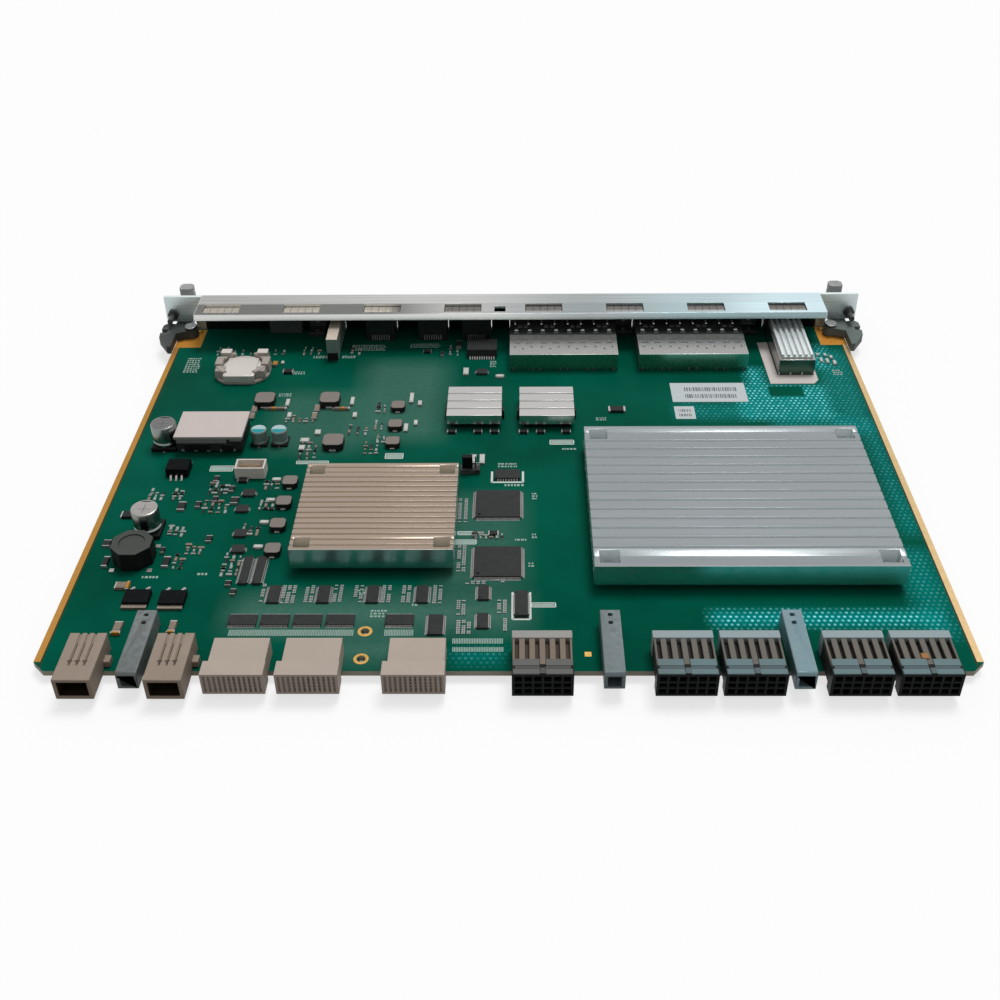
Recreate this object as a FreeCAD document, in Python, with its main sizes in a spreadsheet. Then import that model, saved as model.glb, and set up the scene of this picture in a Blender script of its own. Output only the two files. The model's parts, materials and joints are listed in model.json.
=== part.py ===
"""Uplink card: a large circuit card with a front panel, finned heat sinks, transceiver cages and
backplane connectors.

Frame: +X along the panel, +Y from the backplane connectors towards the panel, +Z up from the board.
The origin is under the middle of the whole card, on the plane that the card lies on.
"""
import FreeCAD, Part
import math
import os
import re

import Sketcher

# Driving sizes in millimetres (plain counts where the name says so): name, value, meaning.
SIZES = {
    # circuit board and the grid that the places on it are measured on
    "board_width": (366.7, "board along the panel"),
    "board_depth": (272.0, "board from connectors to panel"),
    "board_thickness": (2.4, "laminate thickness"),
    "corner_clip": (5.0, "clip of the two rear corners"),
    "grid_columns": (366.7, "units across the grid of places, which stretches with the board"),
    "grid_rows": (272.0, "units along the grid of places"),
    "plated_hole_radius": (1.6, "gold-plated holes"),
    "hole_clearance": (0.05, "radial room of a screw in its hole"),
    # hexagon-head screws of the guide sockets and panel brackets
    "screw_sides": (6, "flat sides of a small shank and its hole"),
    "screw_radius": (1.2, "shank"),
    "screw_length": (4.9, "shank under the head"),
    "screw_head_radius": (2.6, "hexagon head"),
    "screw_head_height": (2.0, "hexagon head, what the card lies on at the rear"),
    # front panel
    "ear_overhang": (7.65, "plate past the board's side edges"),
    "panel_height": (24.0, "front plate"),
    "panel_thickness": (2.0, "front plate"),
    "panel_gap": (0.5, "room between board edge and plate"),
    "flange_inset": (21.0, "top flange from the plate's ends"),
    "flange_depth": (22.4, "top flange from the plate's front"),
    "flange_lip": (3.5, "edge folded down"),
    "sheet_thickness": (1.2, "flange sheet"),
    "bottom_lip": (6.0, "bottom fold from the plate's front"),
    "window_count": (8, "windows in the top flange"),
    "window_length": (20.0, "along the panel"),
    "window_depth": (9.2, "across the flange"),
    "window_margin": (7.05, "flange's ends to the row of windows"),
    "window_middle": (-3.2, "middle of the row of windows"),
    "window_inset": (15.9, "plate front to window middle"),
    "key_hole_length": (6.0, "small oblong hole in the flange"),
    "key_hole_depth": (6.0, "small oblong hole in the flange"),
    "key_hole_place": (-5.0, "along the panel"),
    "key_hole_inset": (17.4, "plate front to its middle"),
    "notch_room": (3.5, "plate's notch beside the lever arm"),
    "notch_clearance": (0.5, "plate's notch over the lever arm"),
    "port_clearance": (0.3, "round each port"),
    # contact springs under the windows
    "finger_count": (5, "fingers in a window"),
    "finger_width": (3.2, "one finger"),
    "finger_pitch": (3.9, "finger to finger"),
    "finger_thickness": (0.3, "spring sheet"),
    "spring_foot": (3.0, "strip under the flange"),
    # ejector levers, left one drawn, right one mirrored
    "pivot_inset": (7.35, "pivot from the board's side edge"),
    "pivot_setback": (8.0, "pivot behind the board's front edge"),
    "pivot_radius": (2.0, "pin shank"),
    "pivot_head_radius": (3.4, "pin head"),
    "pivot_head_height": (1.2, "pin head"),
    "running_clearance": (0.05, "radial room of a turning pin"),
    "lever_gap": (0.4, "room under and over the lever"),
    "hub_radius": (6.0, "boss on the pin"),
    "hub_sides": (16, "flat sides of the boss"),
    "lobe_height": (4.6, "cam lobe"),
    "lobe_reach": (16.0, "cam lobe, outwards from the pivot"),
    "lobe_tail": (20.5, "cam lobe, backwards from the pivot"),
    "hook_width": (3.5, "slot for the chassis rail"),
    "hook_depth": (3.5, "slot for the chassis rail"),
    "arm_height": (3.6, "arm under the ear"),
    "arm_width": (7.5, "arm and handle"),
    "arm_offset": (2.5, "arm's inner side from the pivot"),
    "arm_length": (23.0, "pivot to handle"),
    "handle_depth": (7.0, "handle"),
    "handle_height": (16.6, "handle"),
    "handle_round": (1.5, "handle corners"),
    # captive screws in the ears
    "ear_screw_inset": (4.0, "from the panel's end"),
    "ear_screw_rise": (9.0, "above the board's top"),
    "captive_radius": (2.2, "sleeve in the ear"),
    "captive_thread_radius": (1.5, "thread behind the ear"),
    "captive_thread_length": (7.5, "thread behind the collar"),
    "captive_collar_radius": (3.2, "collar behind the ear"),
    "captive_collar_height": (1.2, "collar behind the ear"),
    "captive_head_radius": (3.5, "head in front"),
    "captive_head_height": (4.2, "head in front"),
    "captive_head_sides": (12, "flats of the head"),
    "captive_gap": (0.3, "end play on each side of the ear"),
    # brackets between board and panel
    "bracket_width": (9.0, "along the panel"),
    "bracket_leg": (10.0, "leg on the board"),
    "bracket_rise": (9.0, "leg on the panel"),
    "bracket_thickness": (2.5, "both legs"),
    "bracket_screw_rise": (6.0, "panel screw above the board's top"),
    "bracket_screw_setback": (6.5, "board screw behind the plate"),
    # upright serial-bus socket
    "usb_width": (6.0, "shell"),
    "usb_height": (12.4, "shell"),
    "usb_length": (38.5, "shell"),
    "usb_wall": (0.4, "shell"),
    "usb_mouth": (12.0, "depth of the mouth"),
    "usb_tongue": (1.8, "contact tongue thickness"),
    # network jacks
    "jack_width": (15.6, "body"),
    "jack_height": (12.6, "body"),
    "jack_length": (17.0, "body"),
    "jack_mouth_width": (11.8, "plug opening"),
    "jack_mouth_height": (7.0, "plug opening"),
    "jack_mouth_rise": (3.8, "plug opening above the board"),
    "jack_mouth_depth": (13.0, "plug opening"),
    "jack_latch_width": (6.4, "latch slot under the opening"),
    "jack_latch_drop": (2.4, "latch slot under the opening"),
    # light pipes
    "pipe_side": (2.0, "one square pipe"),
    "pipe_pitch": (4.5, "pipe to pipe"),
    "pipe_count": (4, "pipes"),
    "pipe_rise": (6.0, "pipe axis above the board's top"),
    "pipe_holder_depth": (5.0, "holder"),
    "pipe_holder_height": (8.0, "holder"),
    "pipe_nose": (0.5, "pipes in front of the plate"),
    # gaps along the row of ports, from the right end of the board
    "wide_cage_inset": (33.55, "wide cage's middle from the board's side edge"),
    "wide_cage_gap": (15.2, "four-bay cage to wide cage"),
    "cage_gap": (11.0, "between the four-bay cages, bracket in the middle"),
    "jack_cage_gap": (10.5, "jack to cage"),
    "jack_pitch": (24.0, "right pair of jacks"),
    "jack_step": (28.6, "left pair of jacks"),
    "usb_gap": (13.1, "upright socket to jack"),
    "bracket_gap": (2.2, "right bracket to its cage"),
    "left_bracket_gap": (4.5, "left bracket to the upright socket"),
    "pipe_gap": (4.0, "light pipes to the left bracket"),
    # ganged transceiver cages
    "cage_width": (57.0, "four bays"),
    "cage_height": (9.6, "cage"),
    "cage_length": (50.5, "cage"),
    "cage_wall": (0.5, "sheet"),
    "cage_bays": (4, "bays"),
    "cage_nose": (1.0, "in front of the plate"),
    "socket_width": (11.5, "edge socket in a bay"),
    "socket_depth": (7.0, "edge socket in a bay"),
    "socket_height": (5.6, "edge socket in a bay"),
    # single wide cage with its ribbed sink
    "wide_cage_width": (18.6, "cage"),
    "wide_cage_height": (9.0, "cage"),
    "wide_cage_length": (56.0, "cage"),
    "wide_sink_width": (16.4, "ribbed sink on the cage"),
    "wide_sink_length": (40.0, "ribbed sink on the cage"),
    "wide_sink_base": (0.7, "ribbed sink plate"),
    "wide_sink_rib": (1.5, "rib height"),
    "wide_sink_rib_width": (1.4, "rib"),
    "wide_sink_ribs": (6, "ribs"),
    "wide_sink_setback": (2.0, "from the cage's rear"),
    "film_thickness": (0.4, "insulating film by the wide cage"),
    "film_left": (18.5, "film, left of the cage's middle"),
    "film_right": (7.2, "film, right of the cage's middle"),
    "film_arm": (4.2, "film's side arm"),
    "film_tongue": (9.2, "film behind the cage"),
    "film_length": (42.0, "film along the cage"),
    "film_margin": (0.3, "film to cage"),
    # main heat sink and its chip
    "main_sink_width": (128.0, "along the fins"),
    "main_sink_depth": (104.0, "across the fins"),
    "main_sink_base": (3.0, "plate"),
    "main_sink_fin_height": (7.0, "fins"),
    "main_sink_fins": (16, "fins"),
    "main_sink_slot": (1.4, "room between fins"),
    "main_sink_inset": (6.5, "screws from the corners"),
    "main_sink_well": (4.2, "half side of the screw wells"),
    "main_chip_width": (45.0, "chip under the sink"),
    "main_chip_height": (3.0, "chip under the sink"),
    # middle heat sink and its chip
    "mid_sink_width": (68.7, "along the fins"),
    "mid_sink_depth": (62.9, "across the fins"),
    "mid_sink_base": (3.0, "plate"),
    "mid_sink_fin_height": (7.0, "fins"),
    "mid_sink_fins": (17, "fins"),
    "mid_sink_slot": (1.1, "room between fins"),
    "mid_sink_inset": (5.0, "screws from the corners"),
    "mid_sink_well": (3.4, "half side of the screw wells"),
    "mid_chip_width": (35.0, "chip under the sink"),
    "mid_chip_height": (3.0, "chip under the sink"),
    # two small heat sinks and their chips
    "small_sink_width": (27.0, "along the fins"),
    "small_sink_depth": (27.0, "across the fins"),
    "small_sink_base": (1.4, "plate"),
    "small_sink_fin_height": (3.7, "fins"),
    "small_sink_fins": (4, "fins"),
    "small_sink_slot": (1.1, "room between fins"),
    "small_chip_width": (23.0, "chip under the sink"),
    "small_chip_height": (2.9, "chip under the sink"),
    # screws and nuts of the two large sinks
    "sink_screw_radius": (1.3, "shank"),
    "sink_screw_head_radius": (2.8, "hexagon head"),
    "sink_screw_head_height": (2.2, "head"),
    "nut_radius": (2.9, "across the corners, halved"),
    "nut_height": (1.8, "closed nut under the board"),
    # backplane power connectors
    "edge_clearance": (0.3, "overhanging housings to the board's edge"),
    "power_width": (14.5, "housing"),
    "power_overhang": (13.5, "housing past the board's edge"),
    "power_seat": (12.5, "housing on the board"),
    "power_height": (8.5, "housing above the board's top"),
    "power_drop": (1.5, "housing below the board's top, past the edge"),
    "power_wall": (1.5, "round the cavity"),
    "power_cavity": (12.0, "cavity depth"),
    "power_groove_width": (0.9, "grooves on top"),
    "power_groove_depth": (0.8, "grooves on top"),
    "power_groove_length": (18.0, "grooves on top"),
    "power_groove_pitch": (2.9, "grooves on top"),
    "power_lug": (2.4, "lug on the right side"),
    "power_lug_depth": (4.0, "lug on the right side"),
    "power_lug_height": (3.0, "lug on the right side"),
    "blade_thickness": (0.8, "power contact"),
    "blade_length": (6.5, "power contact"),
    "blade_height": (5.0, "power contact"),
    "blade_pitch": (2.9, "contact to contact"),
    # guide sockets
    "guide_width": (8.0, "body"),
    "guide_overhang": (9.5, "past the board's edge"),
    "guide_seat": (26.5, "on the board"),
    "guide_height": (7.8, "body"),
    "guide_bore": (5.2, "square socket"),
    "guide_bore_depth": (14.0, "square socket"),
    "guide_window": (1.7, "square holes on top"),
    "guide_window_depth": (1.5, "square holes on top"),
    "guide_window_pitch": (4.6, "square holes on top"),
    "guide_window_setback": (2.6, "rear hole from the rear end"),
    "guide_screw_place": (14.0, "screw from the board's edge"),
    # signal connectors
    "signal_width": (23.8, "front flange"),
    "signal_body_width": (21.6, "body behind the flange"),
    "signal_body_shift": (0.8, "body to the right of the flange's middle"),
    "signal_overhang": (10.5, "past the board's edge"),
    "signal_flange": (7.5, "flange depth"),
    "signal_seat": (10.2, "body on the board"),
    "signal_height": (8.3, "flange above the board's top"),
    "signal_step": (0.4, "body lower than the flange"),
    "signal_drop": (1.7, "flange below the board's top"),
    "signal_groove": (0.9, "grooves of the ribbed front"),
    "signal_groove_depth": (0.8, "grooves of the ribbed front"),
    "signal_grooves": (12, "grooves of the ribbed front"),
    "signal_margin": (1.0, "front wall round the grooves"),
    # high-speed connectors
    "fast_width": (23.2, "housing"),
    "fast_pitch": (25.6, "within a pair"),
    "fast_overhang": (11.5, "past the board's edge"),
    "fast_shroud": (5.1, "front shroud depth"),
    "fast_height": (9.4, "shroud above the board's top"),
    "fast_drop": (1.7, "shroud below the board's top"),
    "fast_slots": (6, "upright contact slots"),
    "fast_rib": (0.9, "between slots"),
    "fast_slot_depth": (3.6, "contact slots"),
    "fast_margin": (1.1, "wall round the slots"),
    "latch_width": (2.2, "latch on top of the shroud"),
    "latch_height": (0.6, "latch on top of the shroud"),
    "wafer_length": (14.4, "wafer pack behind the shroud"),
    "wafer_height": (9.6, "wafer pack above the board's top"),
    "wafer_grooves": (6, "open grooves in the pack"),
    "wafer_groove": (1.7, "groove"),
    "wafer_groove_depth": (2.2, "groove"),
    "stiffener_depth": (4.2, "light bar behind the wafers"),
    "stiffener_height": (10.0, "light bar behind the wafers"),
    # board converter
    "converter_width": (33.0, "module"),
    "converter_depth": (22.9, "module"),
    "converter_stand": (1.4, "pins under the module"),
    "converter_body_height": (7.0, "module under its plate"),
    "converter_plate": (1.6, "pale top plate"),
    "converter_margin": (0.8, "module inside the plate"),
    "converter_pin_radius": (0.8, "pins"),
    "converter_pin_inset": (2.4, "pins from the module's corners"),
    # aluminium can capacitors on square bases
    "can_radius": (6.0, "can"),
    "can_sides": (32, "flats that stand for the round can"),
    "can_height": (10.8, "can"),
    "can_base": (12.6, "square base"),
    "can_base_height": (2.2, "square base"),
    "can_gap": (0.6, "upper can's base to the converter"),
    "upper_can_y": (155.6, "upper can from the board's rear edge"),
    # polymer capacitors
    "polymer_radius": (3.9, "can"),
    "polymer_sides": (16, "flat sides of a can"),
    "polymer_height": (8.0, "can"),
    "polymer_base": (8.2, "square foot"),
    "polymer_base_height": (1.2, "square foot"),
    # choke and inductors
    "choke_radius": (9.2, "octagon, centre to corner"),
    "choke_height": (9.0, "choke"),
    "choke_dish": (0.6, "dish in the top"),
    "choke_rim": (3.6, "rim round the dish"),
    "coil_width": (10.0, "large inductor"),
    "coil_height": (4.0, "large inductor"),
    "coil_corner": (1.6, "bevelled corners"),
    "small_coil_width": (7.0, "small inductor"),
    "small_coil_height": (3.0, "small inductor"),
    # power transistors
    "tall_transistor_width": (10.5, "body"),
    "tall_transistor_depth": (9.0, "body"),
    "tall_transistor_height": (4.5, "body"),
    "flat_transistor_width": (10.7, "body"),
    "flat_transistor_depth": (8.4, "body"),
    "flat_transistor_height": (2.4, "body"),
    "transistor_tab": (2.0, "tab past the body"),
    "transistor_tab_height": (1.2, "tab"),
    # pin headers
    "header_width": (14.0, "white shrouded header"),
    "header_depth": (8.0, "white shrouded header"),
    "header_height": (6.0, "white shrouded header"),
    "header_wall": (0.9, "shroud"),
    "header_floor": (1.5, "shroud"),
    "jumper_width": (9.0, "strip of pins"),
    "jumper_depth": (5.0, "strip of pins"),
    "jumper_height": (2.5, "strip of pins"),
    "jumper_pins": (3, "pins"),
    "jumper_pin": (0.64, "pin"),
    "jumper_pin_pitch": (2.54, "pin to pin"),
    "jumper_pin_height": (6.0, "pin above the strip"),
    "jumper_cap_width": (4.8, "cap over two pins"),
    "jumper_cap_depth": (2.6, "cap over two pins"),
    "jumper_cap_height": (6.4, "cap over two pins"),
    # network coil block behind the right jack
    "network_coil_width": (16.0, "block"),
    "network_coil_depth": (11.4, "block"),
    "network_coil_height": (5.0, "block"),
    "network_coil_shift": (3.4, "to the right of the jack's middle"),
    "network_coil_gap": (7.7, "behind the jack"),
    # coin cell
    "cell_radius": (10.0, "coin cell"),
    "cell_sides": (36, "flats that stand for the round cell"),
    "cell_height": (3.2, "coin cell"),
    "cell_room": (0.2, "cell to holder"),
    "holder_width": (29.0, "holder"),
    "holder_depth": (25.0, "holder"),
    "holder_floor": (1.6, "holder"),
    "holder_height": (6.2, "holder"),
    "holder_gap": (14.0, "open middle of the holder's front and back"),
}

# Flat chips: width, depth and height of each kind, and where each one sits on the layout grid.
CHIP_KINDS = {
    "flat_pack": (20.0, 20.0, 1.4),
    "memory_chip": (11.6, 7.0, 1.5),
    "boot_chip": (5.3, 15.0, 1.5),
    "bus_chip": (4.5, 9.0, 1.0),
    "buffer_chip": (5.0, 10.7, 1.0),
    "line_chip": (11.6, 6.3, 1.0),
    "end_chip": (6.0, 11.8, 1.0),
    "slim_chip": (3.7, 18.0, 1.2),
    "tiny_chip": (5.5, 5.0, 1.2),
}
CHIP_PLACES = {
    "flat_pack": [(-4.3, 105.9), (-3.9, 64.9)],
    "memory_chip": [(-0.2, 128.9)],
    "boot_chip": [(6.1, 38.1)],
    "bus_chip": [(-9.5, 45.2), (-9.5, 28.0)],
    "buffer_chip": [(-95.8, 44.3), (-75.3, 44.3), (-55.1, 44.3), (-34.7, 44.3)],
    "line_chip": [(-106.0, 28.5), (-92.9, 28.5), (-79.8, 28.5), (-66.7, 28.5), (-42.8, 28.5)],
    "end_chip": [(-28.2, 25.7)],
    "slim_chip": [(-110.2, 59.7), (-104.4, 59.7)],
    "tiny_chip": [(-14.3, 222.9), (-118.5, 115.0), (-119.5, 103.0), (-117.0, 85.0), (-116.0, 74.0)],
}

# Places of the other pieces on the layout grid: from the board's middle, and from its rear edge.
PLACES = {
    "main_sink": (99.9, 99.1),
    "mid_sink": (-56.5, 89.6),
    "left_small_sink": (-16.8, 182.3),
    "right_small_sink": (18.9, 182.0),
    "converter": (-142.8, 158.8),
    "lower_can": (-157.9, 87.6),
    "choke": (-159.3, 68.4),
    "left_polymer": (-120.4, 157.5),
    "right_polymer": (-110.6, 157.5),
    "tall_transistor": (-154.5, 133.0),
    "left_flat_transistor": (-151.8, 41.5),
    "right_flat_transistor": (-136.9, 41.0),
    "header": (-120.0, 131.0),
    "jumper": (-17.6, 132.6),
    "holder": (-140.5, 224.0),
    "upper_plated_hole": (-56.1, 22.4),
    "lower_plated_hole": (-56.1, 6.7),
}
COILS = [(-123.6, 193.0), (-90.6, 193.0), (-84.3, 154.4)]
SMALL_COILS = [(-55.6, 187.4), (-55.7, 170.1), (-55.8, 154.9), (-100.5, 122.3), (-101.0, 106.5),
               (-101.1, 89.8), (-100.6, 72.2)]

# Connectors on the rear edge of the board: only their place along it.
EDGE_PLACES = {
    "left_power": -162.0,
    "right_power": -127.8,
    "left_guide": -142.5,
    "middle_guide": 41.0,
    "right_guide": 112.4,
    "left_signal": -102.6,
    "middle_signal": -74.6,
    "right_signal": -34.6,
    "single_fast": 14.0,
    "inner_fast_pair": 80.7,
    "outer_fast_pair": 145.5,
}

# Places and lengths that follow from the sizes.
DERIVED = {
    "board_bottom": "screw_head_height",
    "board_top": "screw_head_height + board_thickness",
    "front_reach": "arm_length + handle_depth - pivot_setback",
    "rear": "(power_overhang - board_depth - front_reach) / 2",
    "front": "rear + board_depth",
    "left": "-board_width / 2",
    "right": "board_width / 2",
    "panel_back": "front + panel_gap",
    "panel_front": "panel_back + panel_thickness",
    "lever_bottom": "board_top + lever_gap",
    "notch_top": "lever_bottom + arm_height + notch_clearance",
    "panel_length": "board_width + 2 * ear_overhang",
    "flange_length": "panel_length - 2 * flange_inset",
    "window_pitch": "(flange_length - window_length - 2 * window_margin) / (window_count - 1)",
    "wide_cage_place": "right - wide_cage_inset",
    "right_cage_place": "wide_cage_place - wide_cage_width / 2 - wide_cage_gap - cage_width / 2",
    "left_cage_place": "right_cage_place - cage_width - cage_gap",
    "right_jack_place": "left_cage_place - cage_width / 2 - jack_cage_gap - jack_width / 2",
    "middle_jack_place": "right_jack_place - jack_pitch",
    "left_jack_place": "middle_jack_place - jack_step",
    "usb_place": "left_jack_place - jack_width / 2 - usb_gap - usb_width / 2",
    "right_bracket_place": "right_cage_place + (cage_width + bracket_width) / 2 + bracket_gap",
    "middle_bracket_place": "(left_cage_place + right_cage_place) / 2",
    "left_bracket_place": "usb_place - (usb_width + bracket_width) / 2 - left_bracket_gap",
    "light_pipes_place": "left_bracket_place - bracket_width / 2 - pipe_gap - pipe_pitch * pipe_count / 2",
    "upper_can_place": "converter_x * board_width / grid_columns - converter_width / 2 + converter_margin"
                       " - can_gap - can_base / 2",
    "pivot_x": "left + pivot_inset",
    "pivot_y": "front - pivot_setback",
    "ear_screw_x": "panel_length / 2 - ear_screw_inset",
    "bay_width": "(cage_width - (cage_bays + 1) * cage_wall) / cage_bays",
    "converter_bottom": "board_top + converter_stand",
    "cell_bottom": "board_top + holder_floor",
    "screw_hole": "screw_radius + hole_clearance",
    "sink_screw_hole": "sink_screw_radius + hole_clearance",
    "fast_wafer_front": "fast_shroud - fast_overhang",
    "fast_mouth_width": "fast_width - 2 * fast_margin",
    "fast_mouth_height": "fast_height + fast_drop - 2 * fast_margin",
    "fast_slot_width": "(fast_mouth_width + fast_rib) / fast_slots - fast_rib",
}

TURN_TO_FRONT = FreeCAD.Rotation(FreeCAD.Vector(1, 0, 0), -90)
TURN_TO_BACK = FreeCAD.Rotation(FreeCAD.Vector(1, 0, 0), 90)
TURN_OVER = FreeCAD.Rotation(FreeCAD.Vector(1, 0, 0), 180)
HALF_FLAT = FreeCAD.Rotation(FreeCAD.Vector(0, 0, 1), 22.5)
WORD = re.compile(r"[A-Za-z_]\w*")

doc = FreeCAD.newDocument("uplink_card")
sheet = doc.addObject("Spreadsheet::Sheet", "sheet")
nodes = []


def fill_sheet():
    """Writes every driving size into the sheet, with its name as the cell's alias."""
    rows = dict(SIZES)
    for kind, sides in CHIP_KINDS.items():
        for side, value in zip(("width", "depth", "height"), sides):
            rows[f"{kind}_{side}"] = (value, "flat chip")
    listed = {"coil": COILS, "small_coil": SMALL_COILS, **CHIP_PLACES}
    places = dict(PLACES)
    for kind, spots in listed.items():
        for index, spot in enumerate(spots, 1):
            places[f"{kind}_{index}"] = spot
    for name, (x, y) in places.items():
        rows[f"{name}_x"] = (x, "place from the board's middle")
        rows[f"{name}_y"] = (y, "place from the board's rear edge")
    for name, x in EDGE_PLACES.items():
        rows[f"{name}_x"] = (x, "place from the board's middle")
    for row, (name, (value, meaning)) in enumerate(rows.items(), 1):
        sheet.set(f"A{row}", meaning)
        sheet.set(f"B{row}", str(value))
        sheet.setAlias(f"B{row}", name)
    doc.recompute()
    return set(rows)


NAMES = fill_sheet()


def expand(word):
    """Gives one name of a formula as the document knows it."""
    name = word.group()
    if name in DERIVED:
        return f"({ex(DERIVED[name])})"
    if name not in NAMES:
        raise KeyError(name)
    return f"sheet.{name}"


def ex(formula):
    """Writes a formula in sheet names as an expression of the document."""
    return WORD.sub(expand, str(formula))


def number(formula):
    """Gives a formula's value now."""
    return float(sheet.evalExpression(ex(formula)))


def at_x(name):
    """Place along the board: in the row of ports, or on the grid that stretches with the board."""
    if f"{name}_place" in DERIVED:
        return f"{name}_place"
    return f"({name}_x * board_width / grid_columns)"


def at_y(name):
    """Place across the board, stretched with the board."""
    return f"(rear + {name}_y * board_depth / grid_rows)"


def place(obj, x, y, z):
    """Binds an object's position to three formulas."""
    for axis, formula in zip("xyz", (x, y, z)):
        obj.setExpression(f"Placement.Base.{axis}", ex(formula))


def block(name, size, low):
    """Box from its three sizes and its low corner."""
    obj = doc.addObject("Part::Box", name)
    for side, formula in zip(("Length", "Width", "Height"), size):
        obj.setExpression(side, ex(formula))
    place(obj, *low)
    return obj


def standing(name, size, x, y, z):
    """Box that stands on height z, centred on x and y."""
    return block(name, size, (f"{x} - ({size[0]}) / 2", f"{y} - ({size[1]}) / 2", z))


def rod(name, radius, height, base, turn=None):
    """Round rod from its base point, along +Z or turned."""
    obj = doc.addObject("Part::Cylinder", name)
    if turn:
        obj.Placement = FreeCAD.Placement(FreeCAD.Vector(), turn)
    obj.setExpression("Radius", ex(radius))
    obj.setExpression("Height", ex(height))
    place(obj, *base)
    return obj


def prism(name, sides, radius, height, base, turn=None):
    """Flat-sided rod from its base point, along +Z or turned."""
    obj = doc.addObject("Part::Prism", name)
    if turn:
        obj.Placement = FreeCAD.Placement(FreeCAD.Vector(), turn)
    obj.setExpression("Polygon", ex(sides))
    obj.setExpression("Circumradius", ex(radius))
    obj.setExpression("Height", ex(height))
    place(obj, *base)
    return obj


def fuse(name, *pieces):
    """One solid from pieces that overlap or share a face."""
    obj = doc.addObject("Part::MultiFuse", name)
    obj.Shapes = list(pieces)
    obj.Refine = True
    return obj


def cut(name, base, *tools):
    """Base with the tools taken out."""
    obj = doc.addObject("Part::Cut", name)
    obj.Base = base
    obj.Tool = tools[0] if len(tools) == 1 else fuse(f"{name}_tools", *tools)
    obj.Refine = True
    return obj


def node(name, piece):
    """Names a finished piece as one sub-part of the card."""
    piece.Label = name
    nodes.append(piece)
    return piece


def group(name, pieces):
    """One sub-part of several like solids."""
    obj = doc.addObject("Part::Compound", f"{name}_group")
    obj.Links = list(pieces)
    return node(name, obj)


def copies(name, master, spots, turn=None):
    """Links to a master piece, one at each spot."""
    links = []
    for index, spot in enumerate(spots, 1):
        link = doc.addObject("App::Link", f"{name}_copy_{index}")
        link.LinkedObject = master
        if turn:
            link.Placement = FreeCAD.Placement(FreeCAD.Vector(), turn)
        place(link, *spot)
        links.append(link)
    return links


def new_body(name, x="0", y="0", z="0"):
    """Body whose origin stands at a point of the card."""
    body = doc.addObject("PartDesign::Body", name)
    place(body, x, y, z)
    return body


def sketch_on(body, name, role, lift="0"):
    """Sketch on one of the body's origin planes, lifted along the plane's normal."""
    sketch = body.newObject("Sketcher::SketchObject", f"{body.Name}_{name}")
    plane = next(feature for feature in body.Origin.OriginFeatures if feature.Role == role)
    sketch.AttachmentSupport = (plane, [""])
    sketch.MapMode = "FlatFace"
    sketch.setExpression("AttachmentOffset.Base.z", ex(lift))
    return sketch


def hold(sketch, kind, geometry, point, formula):
    """Binds one distance from the sketch's origin to a formula."""
    index = sketch.addConstraint(Sketcher.Constraint(kind, -1, 1, geometry, point, number(formula)))
    sketch.setExpression(f"Constraints[{index}]", ex(formula))


def polygon(sketch, corners):
    """Closed chain of lines whose corners are pairs of formulas."""
    first = sketch.GeometryCount
    count = len(corners)
    points = [FreeCAD.Vector(number(x), number(y), 0) for x, y in corners]
    for index, point in enumerate(points):
        sketch.addGeometry(Part.LineSegment(point, points[(index + 1) % count]))
    for index, (x, y) in enumerate(corners):
        following = first + (index + 1) % count
        sketch.addConstraint(Sketcher.Constraint("Coincident", first + index, 2, following, 1))
        hold(sketch, "DistanceX", first + index, 1, x)
        hold(sketch, "DistanceY", first + index, 1, y)


def rectangle(sketch, x, y, width, depth):
    """Rectangle about a middle point."""
    low_x, high_x = f"{x} - ({width}) / 2", f"{x} + ({width}) / 2"
    low_y, high_y = f"{y} - ({depth}) / 2", f"{y} + ({depth}) / 2"
    polygon(sketch, [(low_x, low_y), (high_x, low_y), (high_x, high_y), (low_x, high_y)])


def circle(sketch, x, y, radius):
    """Circle about a middle point."""
    index = sketch.GeometryCount
    centre = FreeCAD.Vector(number(x), number(y), 0)
    sketch.addGeometry(Part.Circle(centre, FreeCAD.Vector(0, 0, 1), number(radius)))
    hold(sketch, "DistanceX", index, 3, x)
    hold(sketch, "DistanceY", index, 3, y)
    size = sketch.addConstraint(Sketcher.Constraint("Radius", index, number(radius)))
    sketch.setExpression(f"Constraints[{size}]", ex(radius))


def regular(sketch, x, y, radius, sides):
    """Regular polygon about a middle point, for a flat-sided hole or boss."""
    count = int(number(sides))
    turn = 2 * math.pi / count
    polygon(sketch, [(f"{x} + ({radius}) * {math.cos(index * turn):.6f}",
                      f"{y} + ({radius}) * {math.sin(index * turn):.6f}") for index in range(count)])


def pad(body, sketch, length, flip=False):
    """Pads a sketch along its normal, or against it."""
    feature = body.newObject("PartDesign::Pad", f"{sketch.Name}_pad")
    feature.Profile = sketch
    feature.Reversed = flip
    feature.setExpression("Length", ex(length))
    return feature


def pocket(body, sketch, length, flip=False):
    """Cuts a sketch against its normal, or along it when flipped."""
    feature = body.newObject("PartDesign::Pocket", f"{sketch.Name}_pocket")
    feature.Profile = sketch
    feature.Reversed = flip
    feature.setExpression("Length", ex(length))
    return feature


def repeat(body, feature, sketch, pitch, count):
    """Repeats a feature along its sketch's horizontal axis."""
    pattern = body.newObject("PartDesign::LinearPattern", f"{feature.Name}_row")
    pattern.Originals = [feature]
    pattern.Direction = (sketch, ["H_Axis"])
    pattern.setExpression("Length", ex(f"({pitch}) * (({count}) - 1)"))
    pattern.setExpression("Occurrences", ex(count))
    body.Tip = pattern
    return pattern


def turned(name, outline):
    """Body turned about its own Z axis from half its section, given as radius and height."""
    body = new_body(name)
    sketch = sketch_on(body, "section", "XZ_Plane")
    polygon(sketch, outline)
    spin = body.newObject("PartDesign::Revolution", f"{name}_turn")
    spin.Profile = sketch
    spin.ReferenceAxis = (sketch, ["V_Axis"])
    spin.Angle = 360
    return body


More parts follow.
